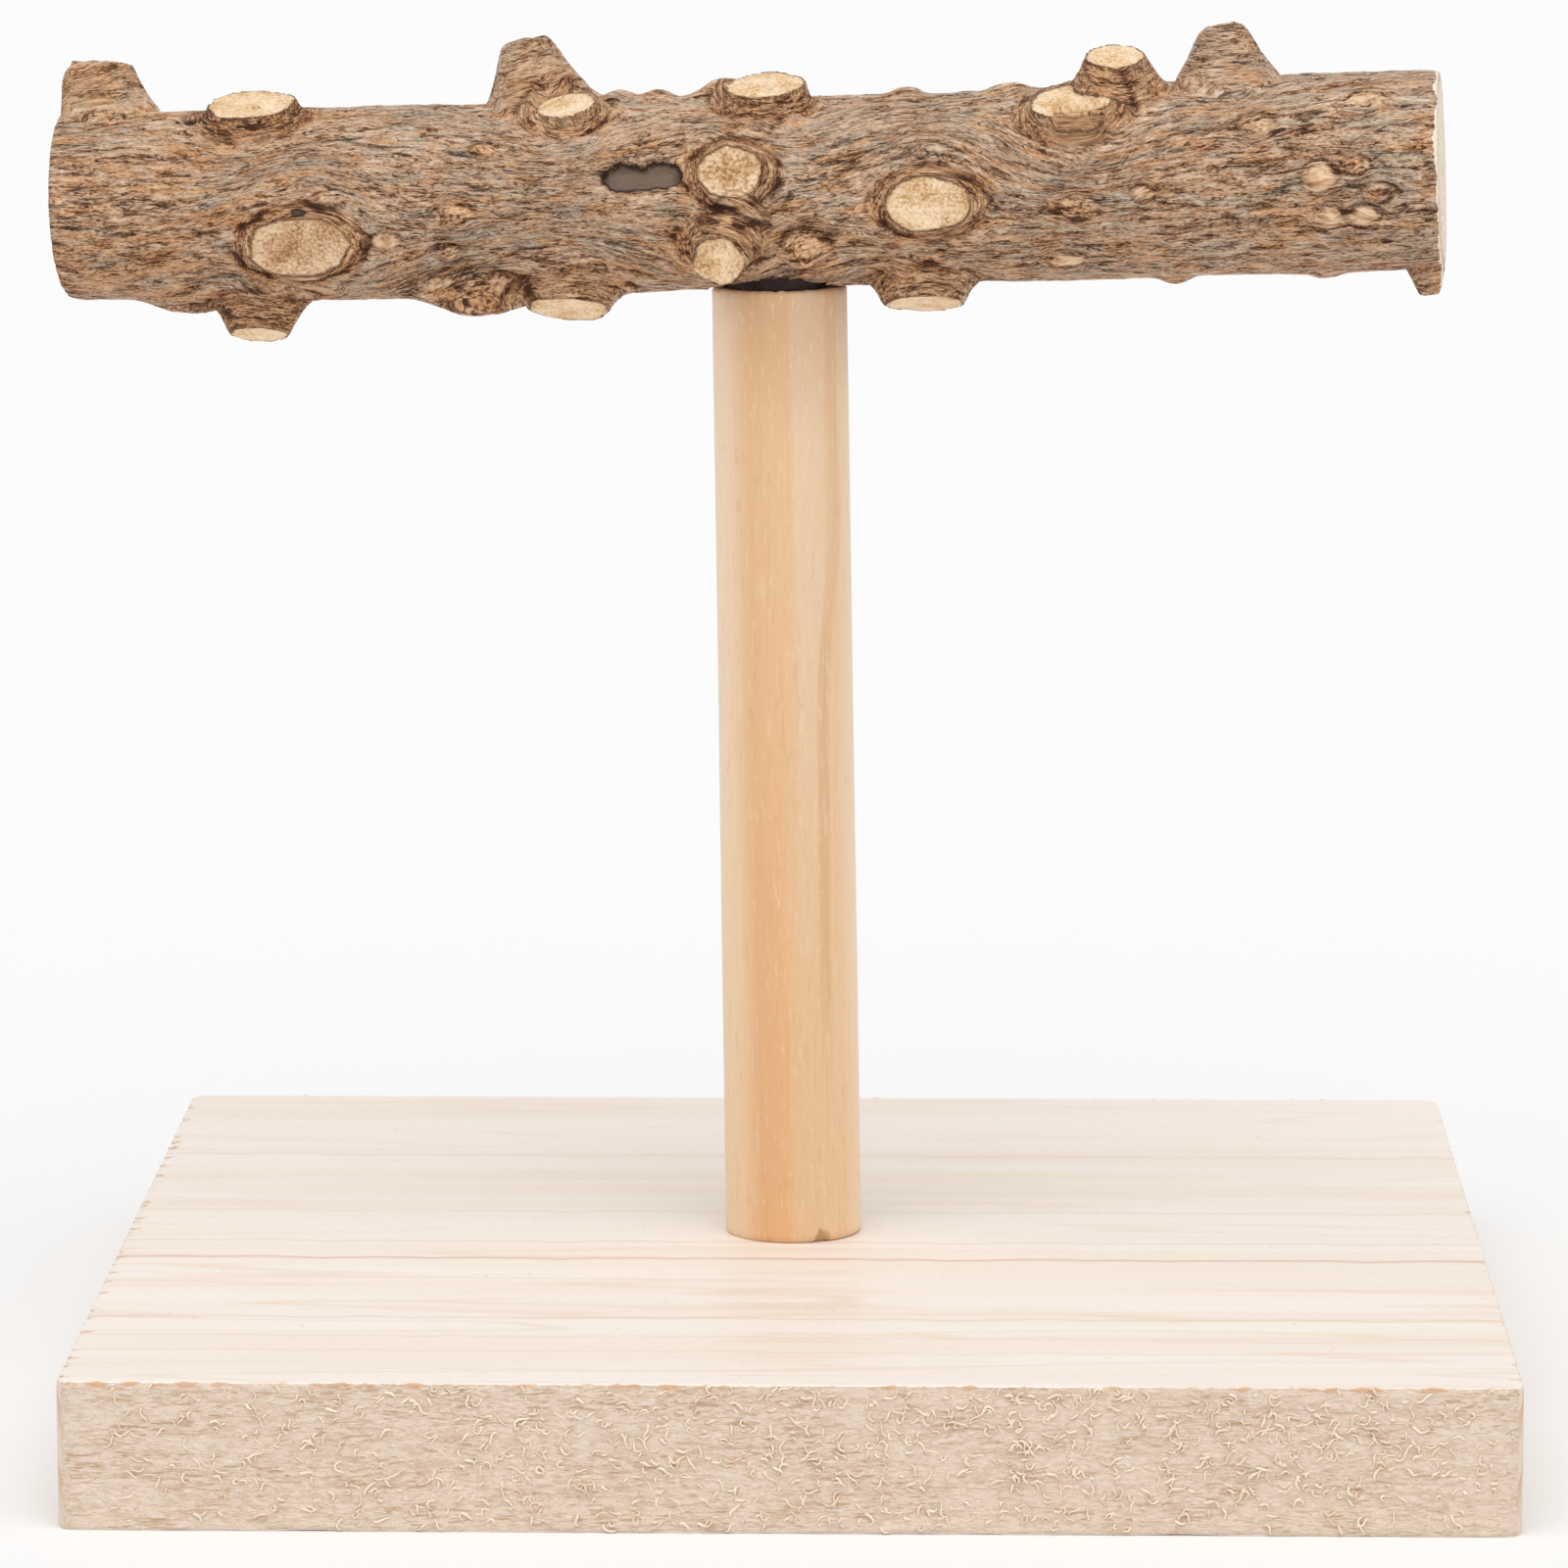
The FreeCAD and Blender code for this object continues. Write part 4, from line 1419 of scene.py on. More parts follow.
    def mesh(self, skin: Skin, turned: Array, middle: Array) -> Piece:
        """Closes the worked surface with its two sawn ends.

        Args:
            skin: the finished surface.
            turned: the branch's turn.
            middle: its place over the post.

        Returns:
            The branch in its place.
        """
        rows, columns, rays = self.rows + 1, self.columns, skin.rays()
        numbers, total = wrapped(rows, columns), rows * columns
        points = [skin.starts() + rays * skin.radius[:, None]]
        faces, fans = [grid_faces(numbers)[:, ::-1]], []
        uv = [unrolled(np.linspace(0.01, 0.99, rows), np.linspace(0.01, 0.70, columns + 1))[:, ::-1]]
        fan_uv = []
        keeps = {name: [getattr(skin, name)] for name in KEPT}
        for end, row in enumerate((0, rows - 1)):
            whole = slice(row * columns, (row + 1) * columns)
            flip = slice(None, None, -1 if end else 1)
            side, rim, ring = skin.side[whole], skin.radius[whole], numbers[row, :-1]
            centre = np.array((self.left + end * self.length, 0, skin.lift[whole][0]))
            flat_centre = np.array((0, 0, self.end_places[end]))
            outer = rim
            for share in np.linspace(0.0, self.cap_reach, self.cap_rings):
                inner = (rim - self.bark) * (1 - share)
                spokes = rays[whole] * inner[:, None]
                new = total + np.arange(columns)
                total += columns
                points.append(centre + spokes)
                keeps["grain"].append(spokes[:, [1, 2, 0]] + flat_centre)
                keeps["cut"].append(rim - self.bark - inner + self.end_cuts[end])
                faces.append(joined(ring, np.roll(ring, -1), np.roll(new, -1), new)[:, flip])
                uv.append(self.cap_uv(end, side, outer, inner)[:, flip])
                outer, ring = inner, new
            points.append(centre[None])
            keeps["grain"].append(flat_centre[None])
            keeps["cut"].append(rim[:1])
            fans.append(fan_faces(ring, total)[:, flip])
            fan_uv.append(self.cap_uv(end, side, outer, outer * 0)[:, :3][:, flip])
            total += 1
        flat_uv = np.concatenate([block.reshape(-1, 2) for block in uv + fan_uv])
        placed = np.concatenate(points) @ turned.T + middle
        made = mesh_object("perch_branch", placed, faces + fans, flat_uv)
        keeps["ring"] += keeps["grain"][1:]
        extra = total - rows * columns
        fills = {"relief": 0.0, "collar": 0.0, "turned": 1.0, "age": np.repeat(self.end_ages, extra // 2)}
        for name, blocks in keeps.items():
            if len(blocks) == 1:
                blocks.append(np.full(extra, fills.get(name, FAR)))
            store(made, name, np.concatenate(blocks))
        return made

    def cap_uv(self, end: int, side: Array, outer: Array, inner: Array) -> Array:
        """Bake coordinates of one ring of faces on an end, four for each face."""
        rims = ((outer, 0), (outer, -1), (inner, -1), (inner, 0))
        corners = [joined(*polar(np.roll(side, shift), np.roll(radius, shift))) for radius, shift in rims]
        return self.cap_middles[end] + np.stack(corners, axis=1) / self.cap_span

    def build(self, seat: Array, post_axis: Array, finish: Finish) -> Piece:
        """Makes the branch, lays it on the post and dresses it.

        Args:
            seat: middle of the post's top.
            post_axis: direction up the post.
            finish: bark and wood.

        Returns:
            The branch.
        """
        skin = self.log()
        for spot in self.swellings:
            self.add_swelling(skin, spot)
        for number, stub in enumerate(self.stubs):
            Twig(self, skin, number, stub).grow()
        for spots, pale in ((self.pale_knots, True), (self.brown_knots, False)):
            for spot in spots:
                self.add_knot(skin, spot, pale)
        for work in (self.add_hollows, self.add_bark, self.pare, self.seat, self.wear_ends):
            work(skin)
        branch = self.mesh(skin, *self.frame(seat, post_axis))
        branch.data.materials.append(finish.material())
        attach(branch, "perch")
        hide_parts("perch_wood", "perch_bark")
        return branch


# The post


@dataclass
class Post:
    """The round pine post, with the bores for its screw and bolt and a chip at its foot."""

    radius: float = 7.35
    edge: float = 0.3
    bolt_bore: float = 3.0
    screw_bore: float = 2.0
    bore_spare: float = 0.3
    bolt_tip: float = 1.2
    screw_tip: float = 1.0
    columns: int = 192
    rows: int = 150
    swell: float = 0.16
    out_of_round: float = 0.05
    skin_depth: float = 0.02
    top_depth: float = 0.16
    foot_depth: float = 0.3
    chip_side: float = 26.0
    chip_half: float = 1.5
    chip_height: float = 1.9
    chip_depth: float = 0.28
    sharp_angle: float = 50.0

    def profile(self, length: float, bolt_depth: float, screw_depth: float) -> Array:
        """Half outline of the post, from the upper bore's tip round the outside to the lower one's.

        Args:
            length: height of the post.
            bolt_depth: depth of the upper bore.
            screw_depth: depth of the lower bore.

        Returns:
            Radius, height, and 1 where the point is on the turned outside.
        """
        flat = self.radius * 0.7
        wall = np.linspace(length - self.edge, self.edge, self.rows)
        points = [
            (0.0, length - bolt_depth - self.bolt_tip, 0), (self.bolt_bore, length - bolt_depth, 0),
            (self.bolt_bore, length, 0), (flat, length, 0), (self.radius - self.edge, length, 0),
        ]
        points += [(self.radius + self.swell * (1 - height / length), height, 1) for height in wall]
        points += [
            (self.radius + self.swell - self.edge, 0.0, 0), (flat, 0.0, 0), (self.screw_bore, 0.0, 0),
            (self.screw_bore, screw_depth, 0), (0.0, screw_depth + self.screw_tip, 0),
        ]
        return np.array(points)

    def round_wood(self, outline: Array, length: float) -> Pair:
        """Turns the outline round, not quite true, with an uneven top and a broken foot.

        Args:
            outline: radius, height and outside mark of each ring.
            length: height of the post.

        Returns:
            The places, and how broken the wood is at each.
        """
        r, h, out = (np.repeat(values[:, None], self.columns, axis=1) for values in outline.T)
        a = np.broadcast_to(full_turn(self.columns), r.shape)

        def rough(seed: Seed, x: Array, y: Array, z: Array | float) -> Array:
            """Noise at each point."""
            return noise(joined(x, y, z).reshape(-1, 3), seed).reshape(r.shape)

        uneven = self.out_of_round * rough(Seed.POST_ROUND, *polar(a, 3), h / 40)
        r = r + out * (uneven + self.skin_depth * rough(Seed.POST_SKIN, *polar(a, 22), h / 12))
        at_top = np.clip(1 - (length - h) / 0.6, 0, 1) * (r > self.bolt_bore + 0.5)
        h = h + self.top_depth * rough(Seed.POST_RIM, *polar(a, 9), 0.0) * at_top
        swing = (np.degrees(a) - (270 + self.chip_side) + 180) % 360 - 180
        x = np.radians(swing) * self.radius
        jag = 0.35 * rough(Seed.CHIP, x * 1.4, h * 1.4, 0.0)
        chip = 1 - np.abs(x) / self.chip_half - h / self.chip_height + jag
        chip = np.clip(chip * 1.6, 0, 1) * (np.abs(r - self.radius) < 0.6)
        ragged = 0.5 * np.clip(rough(Seed.POST_FOOT, *polar(a, 14.4), 0.0) - 0.15, 0, 1)
        ragged *= (h < 0.5) * (r > self.radius - 0.6)
        r = r - self.chip_depth * chip - self.foot_depth * ragged
        return joined(*polar(a, r), h).reshape(-1, 3), np.maximum(chip, 1.8 * ragged).ravel()

    def build(self, foot: Array, top: Array, finish: Finish) -> Piece:
        """Makes the post between two points and dresses it.

        Args:
            foot: middle of its lower end.
            top: middle of its upper end.
            finish: pine.

        Returns:
            The post.
        """
        length = float(np.linalg.norm(top - foot))
        bolt_depth = (top[2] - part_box("hanger_bolt")[0].z / MM) + self.bore_spare
        screw_depth = (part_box("base_screw")[1].z / MM - foot[2]) + self.bore_spare
        outline = self.profile(length, bolt_depth, screw_depth)
        wood, broken = self.round_wood(outline[1:-1], length)
        tips = joined(0.0, 0.0, outline[[0, -1], 1])
        local = np.concatenate([wood, tips])
        numbers, last = wrapped(len(outline) - 2, self.columns), len(local) - 1
        upper, lower = (fan_faces(numbers[row, :-1], tip) for row, tip in ((0, last - 1), (-1, last)))
        faces = [grid_faces(numbers), upper[:, [2, 0, 1]], lower[:, [1, 0, 2]]]

        path = np.append(0, np.cumsum(np.hypot(*np.diff(outline[:, :2], axis=0).T)))
        path = 0.01 + 0.98 * path / path[-1]
        step = np.linspace(0.01, 0.99, self.columns + 1)
        here, ahead = step[:-1], step[1:]
        fans = (
            ((path[0], here), (path[1], here), (path[1], ahead)),
            ((path[-2], ahead), (path[-2], here), (path[-1], here)),
        )
        uv = [unrolled(path[1:-1], step)]
        uv += [np.stack([joined(*corner) for corner in fan], axis=1) for fan in fans]
        flat_uv = np.concatenate([block.reshape(-1, 2) for block in uv])
        post = mesh_object("post_dowel", local @ upright(top - foot).T + foot, faces, flat_uv)
        post.data.set_sharp_from_angle(angle=math.radians(self.sharp_angle))
        store(post, "grain", local[:, [2, 0, 1]])
        store(post, "chip", np.append(broken, (0, 0)))
        post.data.materials.append(finish.material())
        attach(post, "stand")
        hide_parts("post")
        return post


# The base board


@dataclass
class BaseBoard:
    """The square board with its sawn edges, torn ends and screw hole, and the fibres left by the saw."""

    corner: float = 2.0
    edge: float = 0.5
    cells: int = 168
    layers: int = 20
    hole_cells: int = 14
    hole_radius: float = 2.05
    head_radius: float = 4.05
    head_sink: float = 0.5
    head_depth: float = 2.6
    saw_depth: float = 0.16
    cross_depth: float = 0.05
    bite_levels: tuple[float, float] = (0.02, 0.24)
    bite_depth: float = 0.55
    bite_drop: float = 0.45
    fringe_depth: float = 0.25
    fringe_drop: float = 0.12
    low_fringe_rise: float = 0.2
    edge_lines: tuple[float, ...] = (0.0, 0.15, 0.35, 0.6, 1.0)
    fibres: int = 2000
    fibre_width: float = 0.165
    fibre_sink: float = 0.12
    fibre_lengths: tuple[float, float] = (0.6, 2.8)
    fibre_rises: tuple[float, float] = (0.14, 0.34)
    root_inset: Triple = (2.5, 0.7, 0.5)
    path_inset: Triple = (0.8, 0.25, 0.1)
    fibre_steps: int = 7
    fibre_corners: int = 3
    fibre_seed: int = 5

    def lines(self, size: float, count: int) -> Array:
        """Places of the grid lines across one side, closer at both edges."""
        ends = np.array(self.edge_lines)
        inner = np.linspace(ends[-1], size - ends[-1], count - 2 * len(ends) + 3)
        return np.concatenate([ends[:-1], inner, size - ends[-2::-1]])

    def round_corners(self, flat: Array, half: Array) -> tuple[Array, ...]:
        """Rounds the board's upright corners.

        Args:
            flat: places seen from above.
            half: half the board's width and depth.

        Returns:
            The new places, the direction out of the board at each, and how far inside its edge each is.
        """
        inner = half - self.corner
        corner = np.maximum(np.abs(flat) - inner, 0) / self.corner
        curved = joined(*polar(np.arctan2(corner[:, 1], corner[:, 0]), corner.max(axis=1)))
        corner = np.where(corner.min(axis=1)[:, None] > 0, curved, corner)
        flat = np.sign(flat) * np.where(corner > 0, inner + corner * self.corner, np.abs(flat))
        out = flat - np.clip(flat, -inner, inner)
        span = np.linalg.norm(out, axis=1)
        return flat, out / np.maximum(span, TINY)[:, None], self.corner - span

    def shape(self, points: Array, half: Array, height: float) -> Pair:
        """Rounds, roughens and nicks a plain block.

        Args:
            points: places on the block.
            half: half its width and depth.
            height: its thickness.

        Returns:
            The worked places, and how torn each is.
        """
        flat, normal, inset = self.round_corners(points[:, :2], half)
        z, from_top = points[:, 2], height - points[:, 2]
        over_in, over_z = (np.maximum(self.edge - depth, 0) for depth in (inset, np.minimum(z, from_top)))
        bulge = np.hypot(over_in, over_z)
        sharp = (over_in > 0) & (over_z > 0) & (bulge > self.edge)
        pull = np.where(sharp, 1 - self.edge / np.maximum(bulge, TINY), 0)
        push_in, push_z = pull * over_in, pull * over_z

        ends, front = (smooth_step(np.abs(normal[:, axis]), 0.7, 0.95) for axis in (0, 1))
        skin, upper = smooth_step(inset, 0.3, 0.0), smooth_step(from_top, 1.3, 0.2)
        saw = noise(points / (6.0, 3.0, 0.9), Seed.SAW)
        saw += 0.6 * noise(points / (2.5, 2.0, 0.6), Seed.SAW_FINE)
        cross = noise(points / (3.0, 0.9, 7.0), Seed.CROSS)
        push_in += skin * (front * self.saw_depth * (0.5 - saw) + ends * self.cross_depth * (0.5 - cross))
        where = joined(np.sign(flat[:, 0]) * 9, flat[:, 1] / 1.7, 0.0)
        often = np.where(flat[:, 0] < 0, *self.bite_levels)
        bite = np.clip((noise(where, Seed.BITE) - often) * 2.4, 0, 1)
        bite *= 0.5 + 0.5 * noise(where * 2.3 + 7, Seed.BITE_FINE)
        bite = np.clip(bite, 0, 1) * ends * upper * smooth_step(inset, 1.9, 0.1)
        frays = noise(points / (1.3, 3.0, 9.0), Seed.FRINGE)
        frays += 0.5 * noise(points / (4.5, 3.0, 9.0), Seed.FRINGE_BROAD)
        fringe = front * upper * np.clip(frays - 0.05, 0, 1) * smooth_step(inset, 0.6, 0.1)
        low_frays = np.clip(noise(points / (9.0, 3.0, 9.0), Seed.LOW_FRINGE), 0, 1)
        low_fringe = front * smooth_step(z, 0.9, 0.1) * low_frays
        push_in += self.bite_depth * bite + self.fringe_depth * fringe
        flat = flat - normal * push_in[:, None]
        push_z = np.where(z < from_top, push_z, -push_z) + self.low_fringe_rise * low_fringe
        push_z -= self.bite_drop * bite + self.fringe_drop * fringe
        edges = smooth_step(from_top, 1.1, 0.1) * front * skin
        thin = front * smooth_step(from_top, 0.62, 0.2)
        torn = np.clip(1.6 * bite + 1.6 * fringe * thin + 0.3 * edges + 0.6 * low_fringe, 0, 1)
        return joined(*flat.T, z + push_z), torn

    def build(self, finishes: dict[BoardFace, Finish]) -> Piece:
        """Makes the board in its node's place and dresses it.

        Args:
            finishes: the finish of each kind of face.

        Returns:
            The board.
        """
        low, high = in_mm(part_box("base_board"))
        half, height = (high - low)[:2] / 2, float(high[2] - low[2])
        middle = (low + high)[:2] / 2
        hole = sum(in_mm(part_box("base_screw")))[:2] / 2 - middle
        xs, ys = (self.lines(2 * size, self.cells) - size for size in half)
        zs = self.lines(height, self.layers)
        shell = np.ones((len(xs), len(ys), len(zs)), bool)
        shell[1:-1, 1:-1, 1:-1] = False
        numbers = np.full(shell.shape, -1)
        numbers[shell] = np.arange(shell.sum())
        i, j, k = np.nonzero(shell)
        points, torn = self.shape(joined(xs[i], ys[j], zs[k]), half, height)

        start = (len(xs) - 1 - self.hole_cells) // 2
        end = start + self.hole_cells
        closed = np.ones((len(xs) - 1, len(ys) - 1), bool)
        closed[start:end, start:end] = False
        under, top = (grid_faces(numbers[:, :, layer])[closed.ravel()] for layer in (0, -1))
        rims = [self.rim(numbers[start : end + 1, start : end + 1, layer]) for layer in (0, -1)]
        bore, bore_points = self.bore(points, *rims, hole, height)
        groups = [
            (top, BoardFace.PLANED),
            (under[:, ::-1], BoardFace.PLANED),
            (grid_faces(numbers[:, 0, :]), BoardFace.RIPPED),
            (grid_faces(numbers[:, -1, :])[:, ::-1], BoardFace.RIPPED),
            (grid_faces(numbers[0, :, :])[:, ::-1], BoardFace.CROSSCUT),
            (grid_faces(numbers[-1, :, :]), BoardFace.CROSSCUT),
            (bore, BoardFace.PLANED),
        ]
        faces = [block for block, _ in groups]
        points = np.concatenate([points, bore_points])
        uv = self.bake_places(points, faces, half[0])
        board = mesh_object("base_board_wood", points + (*middle, low[2]), faces, uv)
        store(board, "torn", np.append(torn, np.zeros(len(bore_points))))
        for face in BoardFace:
            board.data.materials.append(finishes[face].material())
        kinds = np.repeat([kind.value for _, kind in groups], [len(block) for block in faces])
        board.data.polygons.foreach_set("material_index", kinds.astype(np.int32))
        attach(board, "stand")
        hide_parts("base_board")
        return board

    @staticmethod
    def rim(block: Array) -> Array:
        """Point numbers round a square block of the grid, anticlockwise from its first corner."""
        return np.concatenate([block[:-1, 0], block[-1, :-1], block[:0:-1, -1], block[0, :0:-1]])

    def bore(self, points: Array, under: Array, over: Array, hole: Array, height: float) -> Pair:
        """Closes the two open squares down to a round countersunk hole through the board.

        Args:
            points: places on the board.
            under: point numbers round the open square underneath.
            over: point numbers round the open square on top.
            hole: middle of the hole.
            height: the board's thickness.

        Returns:
            The new faces and the new points.
        """
        low_square, high_square = points[under][:, :2], points[over][:, :2]
        spokes = joined(*polar(np.arctan2(*(low_square - hole).T[::-1]), 1.0))
        wide, narrow = hole + spokes * self.head_radius, hole + spokes * self.hole_radius
        loops = [(low_square + (wide - low_square) * share, 0.0) for share in (0.35, 0.7)]
        loops += [(wide, 0.0), (wide, self.head_sink), (narrow, self.head_depth), (narrow, height)]
        loops += [(narrow + (high_square - narrow) * share, height) for share in (0.3, 0.65)]
        made = [joined(*flat.T, z) for flat, z in loops]
        new = len(points) + np.arange(len(made) * len(under)).reshape(len(made), -1)
        rings = np.concatenate([under[None], new, over[None]])
        return grid_faces(np.concatenate([rings, rings[:, :1]], axis=1)), np.concatenate(made)

    @staticmethod
    def bake_places(points: Array, groups: list[Array], half: float) -> Array:
        """Bake coordinates: each side of the board laid out flat, and the hole's faces in rows of squares.

        Args:
            points: places on the board.
            groups: faces of its top, underside, front, back, left and right, and of the hole.
            half: half its width.

        Returns:
            One row for each corner of each face in turn.
        """
        plans = (
            ((0, 1), (0.005, 0.005)), ((0, 1), (0.505, 0.005)), ((0, 2), (0.005, 0.52)),
            ((0, 2), (0.005, 0.60)), ((1, 2), (0.505, 0.52)), ((1, 2), (0.505, 0.60)),
        )
        span, row, spacing, fill = 0.49, 60, 0.0155, 0.9
        placed = []
        for faces, (axes, start) in zip(groups, plans):
            offset = (half, half if axes == (0, 1) else 0.0)
            placed.append(start + (points[faces.ravel()][:, axes] + offset) / (2 * half) * span)
        count = np.arange(len(groups[-1]))
        cell = joined(count % row, count // row)[:, None]
        square = np.array(((0, 0), (1, 0), (1, 1), (0, 1))) * fill
        placed.append(((0.005, 0.70) + (cell + square) * spacing).reshape(-1, 2))
        return np.concatenate(placed)

    def add_fibres(self, finish: Finish) -> Piece:
        """Curls pale fibres out of the ripped front and back edges.

        Args:
            finish: the fibres' finish.

        Returns:
            All fibres as one piece.
        """
        low, high = in_mm(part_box("base_board"))
        chance = np.random.default_rng(self.fibre_seed)
        points = [self.fibre(chance, low, high, number % 2 == 0) for number in range(self.fibres)]
        grid = wrapped(self.fibre_steps, self.fibre_corners)
        sides = np.roll(grid_faces(grid)[:, ::-1], 1, axis=1)
        caps = np.stack([grid[0, -2::-1], grid[-1, :-1]])
        count = self.fibre_steps * self.fibre_corners
        faces = [block + number * count for number in range(self.fibres) for block in (sides, caps)]
        fuzz = mesh_object("saw_fibres", np.concatenate(points), faces, self.fibre_bake())
        fuzz.data.materials.append(finish.material())
        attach(fuzz, "stand")
        return fuzz

    def fibre(self, chance: np.random.Generator, low: Array, high: Array, front: bool) -> Array:
        """Curls one fibre.

        Args:
            chance: where its random sizes come from.
            low: lowest corner of the board's box.
            high: highest corner of it.
            front: whether it stands on the front edge, not the back one.

        Returns:
            The points of its thin tube.
        """
        ends, under, over = self.root_inset
        root = np.array((
            np.interp(chance.beta(1.5, 1.25), (0, 1), (low[0] + ends, high[0] - ends)),
            low[1] if front else high[1],
            np.interp(chance.beta(1.15, 1.0), (0, 1), (low[2] + under, high[2] - over)),
        ))
        size = np.interp(chance.beta(1.3, 2.6), (0, 1), self.fibre_lengths)
        heading = chance.normal(0, 0.9) + (math.pi if chance.random() < 0.5 else 0)
        curl = chance.normal(0, 1.5)
        rise = chance.uniform(*self.fibre_rises)
        width = self.fibre_width * chance.uniform(0.7, 1.3)
        share = np.linspace(0, 1, self.fibre_steps)
        bend = heading + curl * share + 0.7 * np.sin(share * 5 + chance.uniform(0, 6))
        steps = polar(bend[:-1], size / (self.fibre_steps - 1))
        x, z = (np.append(0.0, np.cumsum(step)) for step in steps)
        out = rise * np.sin(share * math.pi * chance.uniform(0.75, 1.0)) - self.fibre_sink
        path = root + joined(x, -out if front else out, z)
        ends, under, over = self.path_inset
        path[:, 0] = np.clip(path[:, 0], low[0] + ends, high[0] - ends)
        path[:, 2] = np.clip(path[:, 2], low[2] + under, high[2] - over)
        return self.tube(path, width * (1 - 0.55 * share**2))

    def tube(self, path: Array, radii: Array) -> Array:
        """Points of a thin tube along a path, ring after ring."""
        ahead = np.gradient(path, axis=0)
        ahead /= np.linalg.norm(ahead, axis=1)[:, None]
        beside = np.cross(ahead, (0.0, 1.0, 0.0))
        beside /= np.maximum(np.linalg.norm(beside, axis=1), TINY)[:, None]
        over = np.cross(beside, ahead)
        x, y = (part[None, :, None] for part in polar(full_turn(self.fibre_corners), 1.0))
        spokes = x * beside[:, None] + y * over[:, None]
        return (path[:, None] + spokes * radii[:, None, None]).reshape(-1, 3)

    def fibre_bake(self) -> Array:
        """Bake coordinates: one small strip for each fibre."""
        steps, corners = self.fibre_steps, self.fibre_corners
        square = ((0, 0), (0, 1), (1, 1), (1, 0))
        strip = [
            ((i + du) / steps, (j + dv) / corners)
            for i in range(steps - 1) for j in range(corners) for du, dv in square
        ]
        strip += [(1 - inset / steps, 0.1 * j) for inset in (0.5, 0.2) for j in range(corners)]
        across = math.ceil(math.sqrt(self.fibres))
        number = np.arange(self.fibres)
        starts = joined(number % across, number // across)[:, None]
        return ((starts + np.array(strip) * 0.85) / across).reshape(-1, 2)


# Fasteners


@dataclass
class Fasteners:
    """The steel screw, bolt and nut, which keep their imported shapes."""

    plated: tuple[str, ...] = ("base_screw", "hanger_bolt")
    blackened: tuple[str, ...] = ("insert_nut",)

    def dress(self, nodes: dict[str, Piece], zinc: Finish, black: Finish) -> list[Piece]:
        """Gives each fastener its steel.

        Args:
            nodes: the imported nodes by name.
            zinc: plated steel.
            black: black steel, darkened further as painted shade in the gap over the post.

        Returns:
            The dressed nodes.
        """
        dressed = []
        for names, finish in ((self.plated, zinc), (self.blackened, black)):
            made = finish.material()
            for name in names:
                nodes[name].data.materials.clear()
                nodes[name].data.materials.append(made)
                dressed.append(nodes[name])
        return dressed


# Floor, light and camera


@dataclass(frozen=True)
class Lamp:
    """A broad soft light far off.

    Args:
        name: the lamp's name.
        heading: degrees from straight in front, negative to the left.
        height: degrees over the floor.
        spread: degrees across, which softens the shadows.
        strength: light on a sheet that faces it, in watts per square metre.
    """

    name: str
    heading: float
    height: float
    spread: float
    strength: float

    def aim(self) -> Vector:
        """Direction in which it shines."""
        h, e = math.radians(self.heading), math.radians(self.height)
        return -Vector((math.sin(h) * math.cos(e), -math.cos(h) * math.cos(e), math.sin(e)))


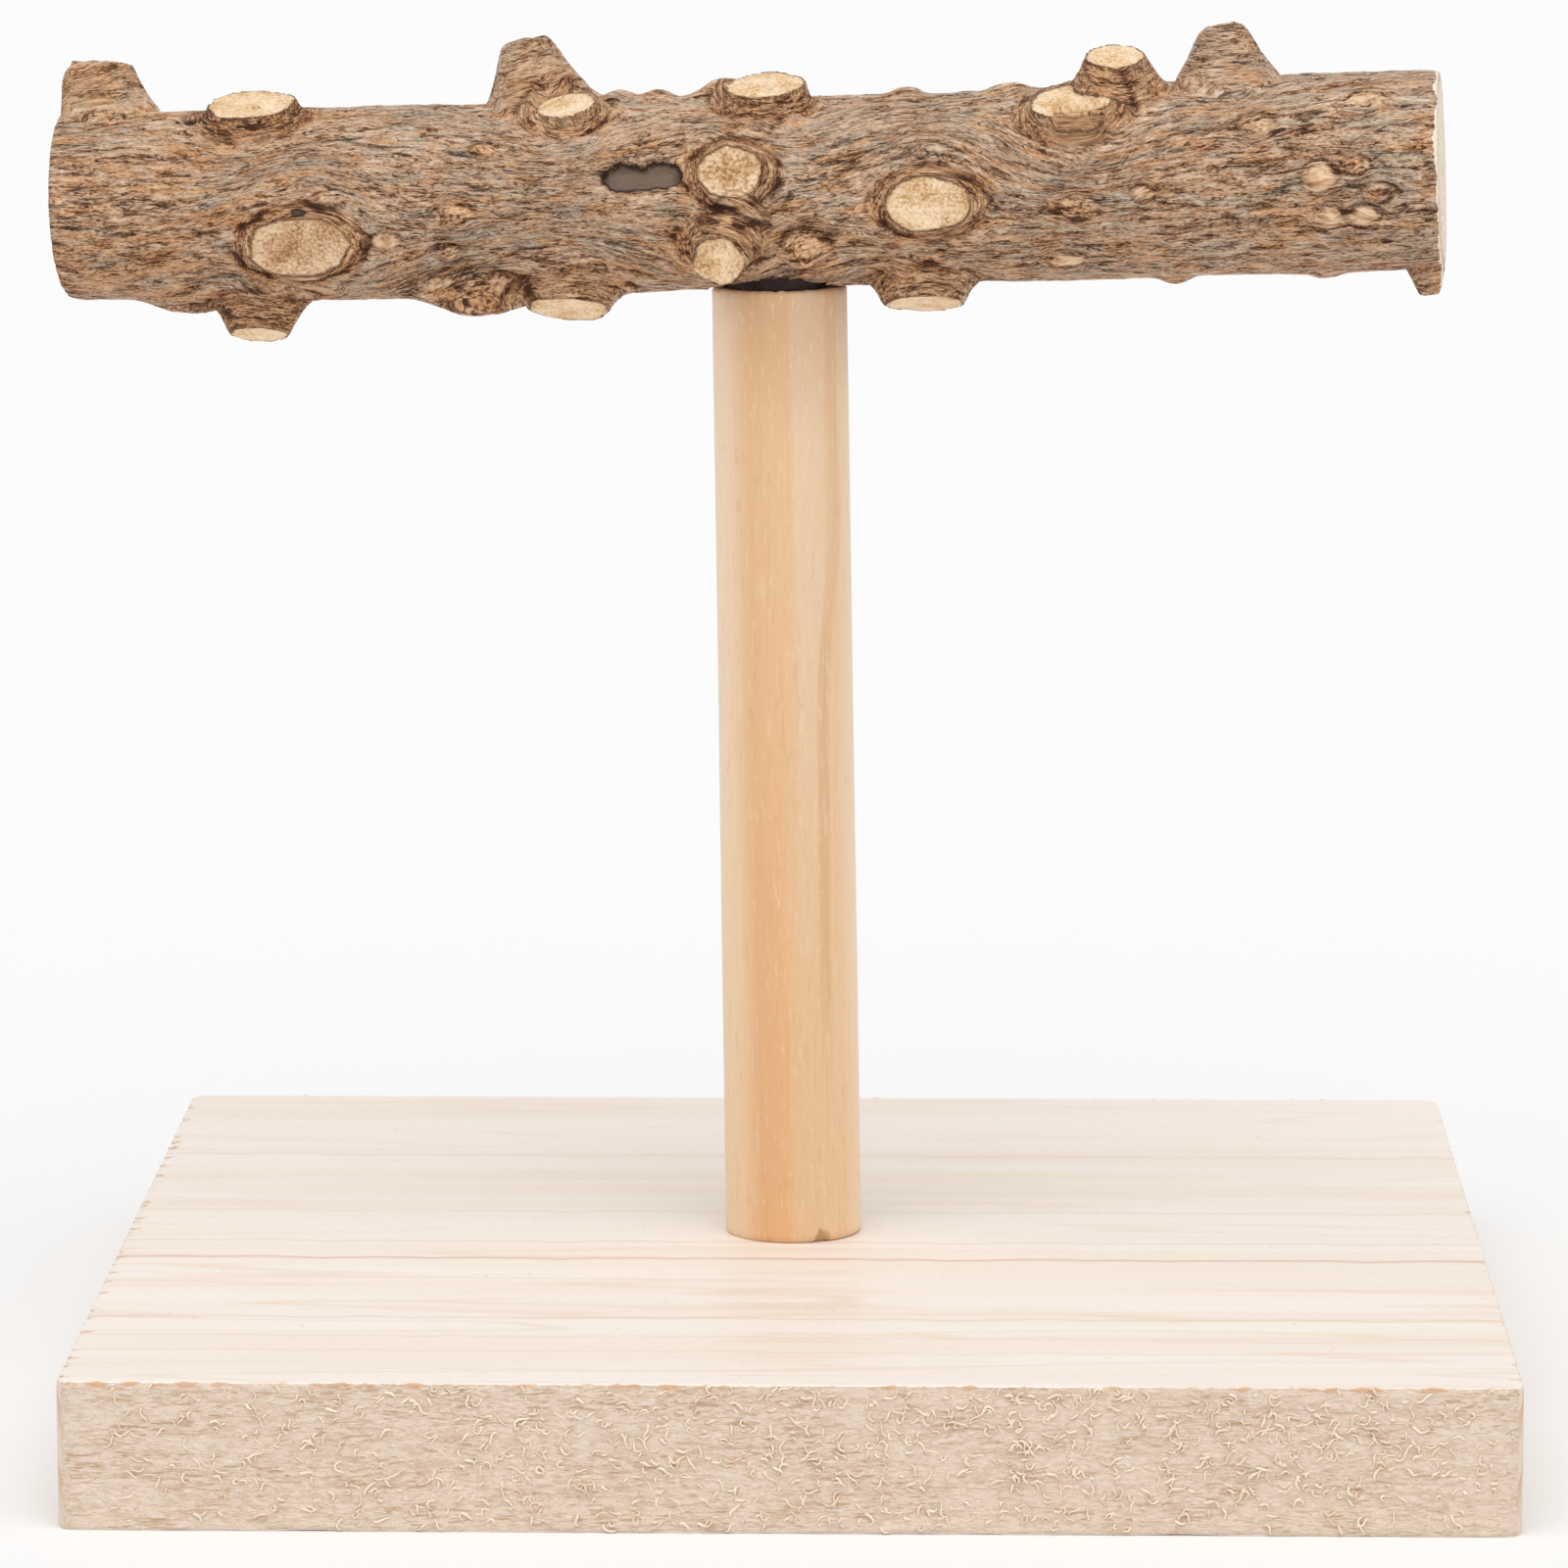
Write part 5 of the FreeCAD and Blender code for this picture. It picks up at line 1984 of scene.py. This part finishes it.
@dataclass
class Studio:
    """A pale floor, soft light from above and in front, and the camera."""

    floor_half: float = 6.0
    world_light: float = 0.52
    lens: float = 182.6
    camera_place: Triple = (0.0161, -0.8657, 0.2035)
    camera_pitch: float = 80.96
    camera_heading: float = 1.2
    lamps: tuple[Lamp, ...] = (
        Lamp("key_light", -15.0, 60.0, 70.0, 1.40),
        Lamp("fill_light", 45.0, 40.0, 70.0, 0.50),
    )

    def lay_floor(self, finish: Finish) -> Piece:
        """Lays the floor under the stand."""
        half = self.floor_half / MM
        corners = np.array(((-half, -half, 0.0), (half, -half, 0.0), (half, half, 0.0), (-half, half, 0.0)))
        floor = mesh_object("floor", corners, [np.array([(0, 1, 2, 3)])])
        floor.data.materials.append(finish.material())
        return floor

    def light(self) -> None:
        """Hangs the lamps and sets an even white world."""
        for lamp in self.lamps:
            data = bpy.data.lights.new(lamp.name, "SUN")
            data.angle = math.radians(lamp.spread)
            data.energy = lamp.strength
            made = bpy.data.objects.new(lamp.name, data)
            made.rotation_euler = lamp.aim().to_track_quat("-Z", "Y").to_euler()
            bpy.context.scene.collection.objects.link(made)
        world = bpy.data.worlds.new("studio")
        world.use_nodes = True
        graph = Graph(world.node_tree)
        path = graph.node("ShaderNodeLightPath").outputs
        kinds = ("Is Camera Ray", "Is Glossy Ray", "Is Transmission Ray")
        camera, glossy, through = (Value(graph, path[kind]) for kind in kinds)
        strength = camera.most(glossy).most(through) * (1 - self.world_light) + self.world_light
        shader = graph.add("ShaderNodeBackground", {"Color": (1, 1, 1, 1), "Strength": strength})
        graph.node("ShaderNodeOutputWorld", {"Surface": shader})
        bpy.context.scene.world = world
        bpy.context.scene.view_settings.view_transform = "Standard"

    def aim_camera(self) -> Piece:
        """Sets the camera where the stand is seen from the front, a little from above."""
        data = bpy.data.cameras.new("front_camera")
        data.lens = self.lens
        data.clip_start = 0.01
        camera = bpy.data.objects.new("front_camera", data)
        camera.location = self.camera_place
        camera.rotation_euler = (math.radians(self.camera_pitch), 0.0, math.radians(self.camera_heading))
        bpy.context.scene.collection.objects.link(camera)
        bpy.context.scene.camera = camera
        return camera


def main() -> None:
    """Builds the stand's looks piece by piece."""
    logging.basicConfig(level=logging.INFO, format="%(name)s: %(message)s")
    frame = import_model()
    joint = frame["joints"][0]
    seat = np.array(joint["pos_m"]) / MM
    post_axis = np.array(joint["axis"])
    board_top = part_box("base_board")[1].z / MM
    foot = seat - post_axis * ((seat[2] - board_top) / post_axis[2])

    effects = Effects.build()
    board = BaseBoard()
    pieces = [
        Branch().build(seat, post_axis, BranchFinish("branch_bark_and_wood", effects)),
        Post().build(foot, seat, PineFinish("turned_pine", effects)),
        board.build({face: BoardFinish(f"board_{face.name.lower()}", effects, face) for face in BoardFace}),
        board.add_fibres(FibreFinish("torn_fibre", effects)),
        *Fasteners().dress(
            frame["nodes"],
            SteelFinish("zinc_steel", effects, Plating.ZINC),
            SteelFinish("dark_steel", effects, Plating.BLACKENED),
        ),
    ]
    for piece in pieces:
        LOG.info("%s: %d faces", piece.name, len(piece.data.polygons))
    studio = Studio()
    studio.lay_floor(FloorFinish("pale_floor", effects))
    studio.light()
    studio.aim_camera()


if __name__ == "__main__":
    main()
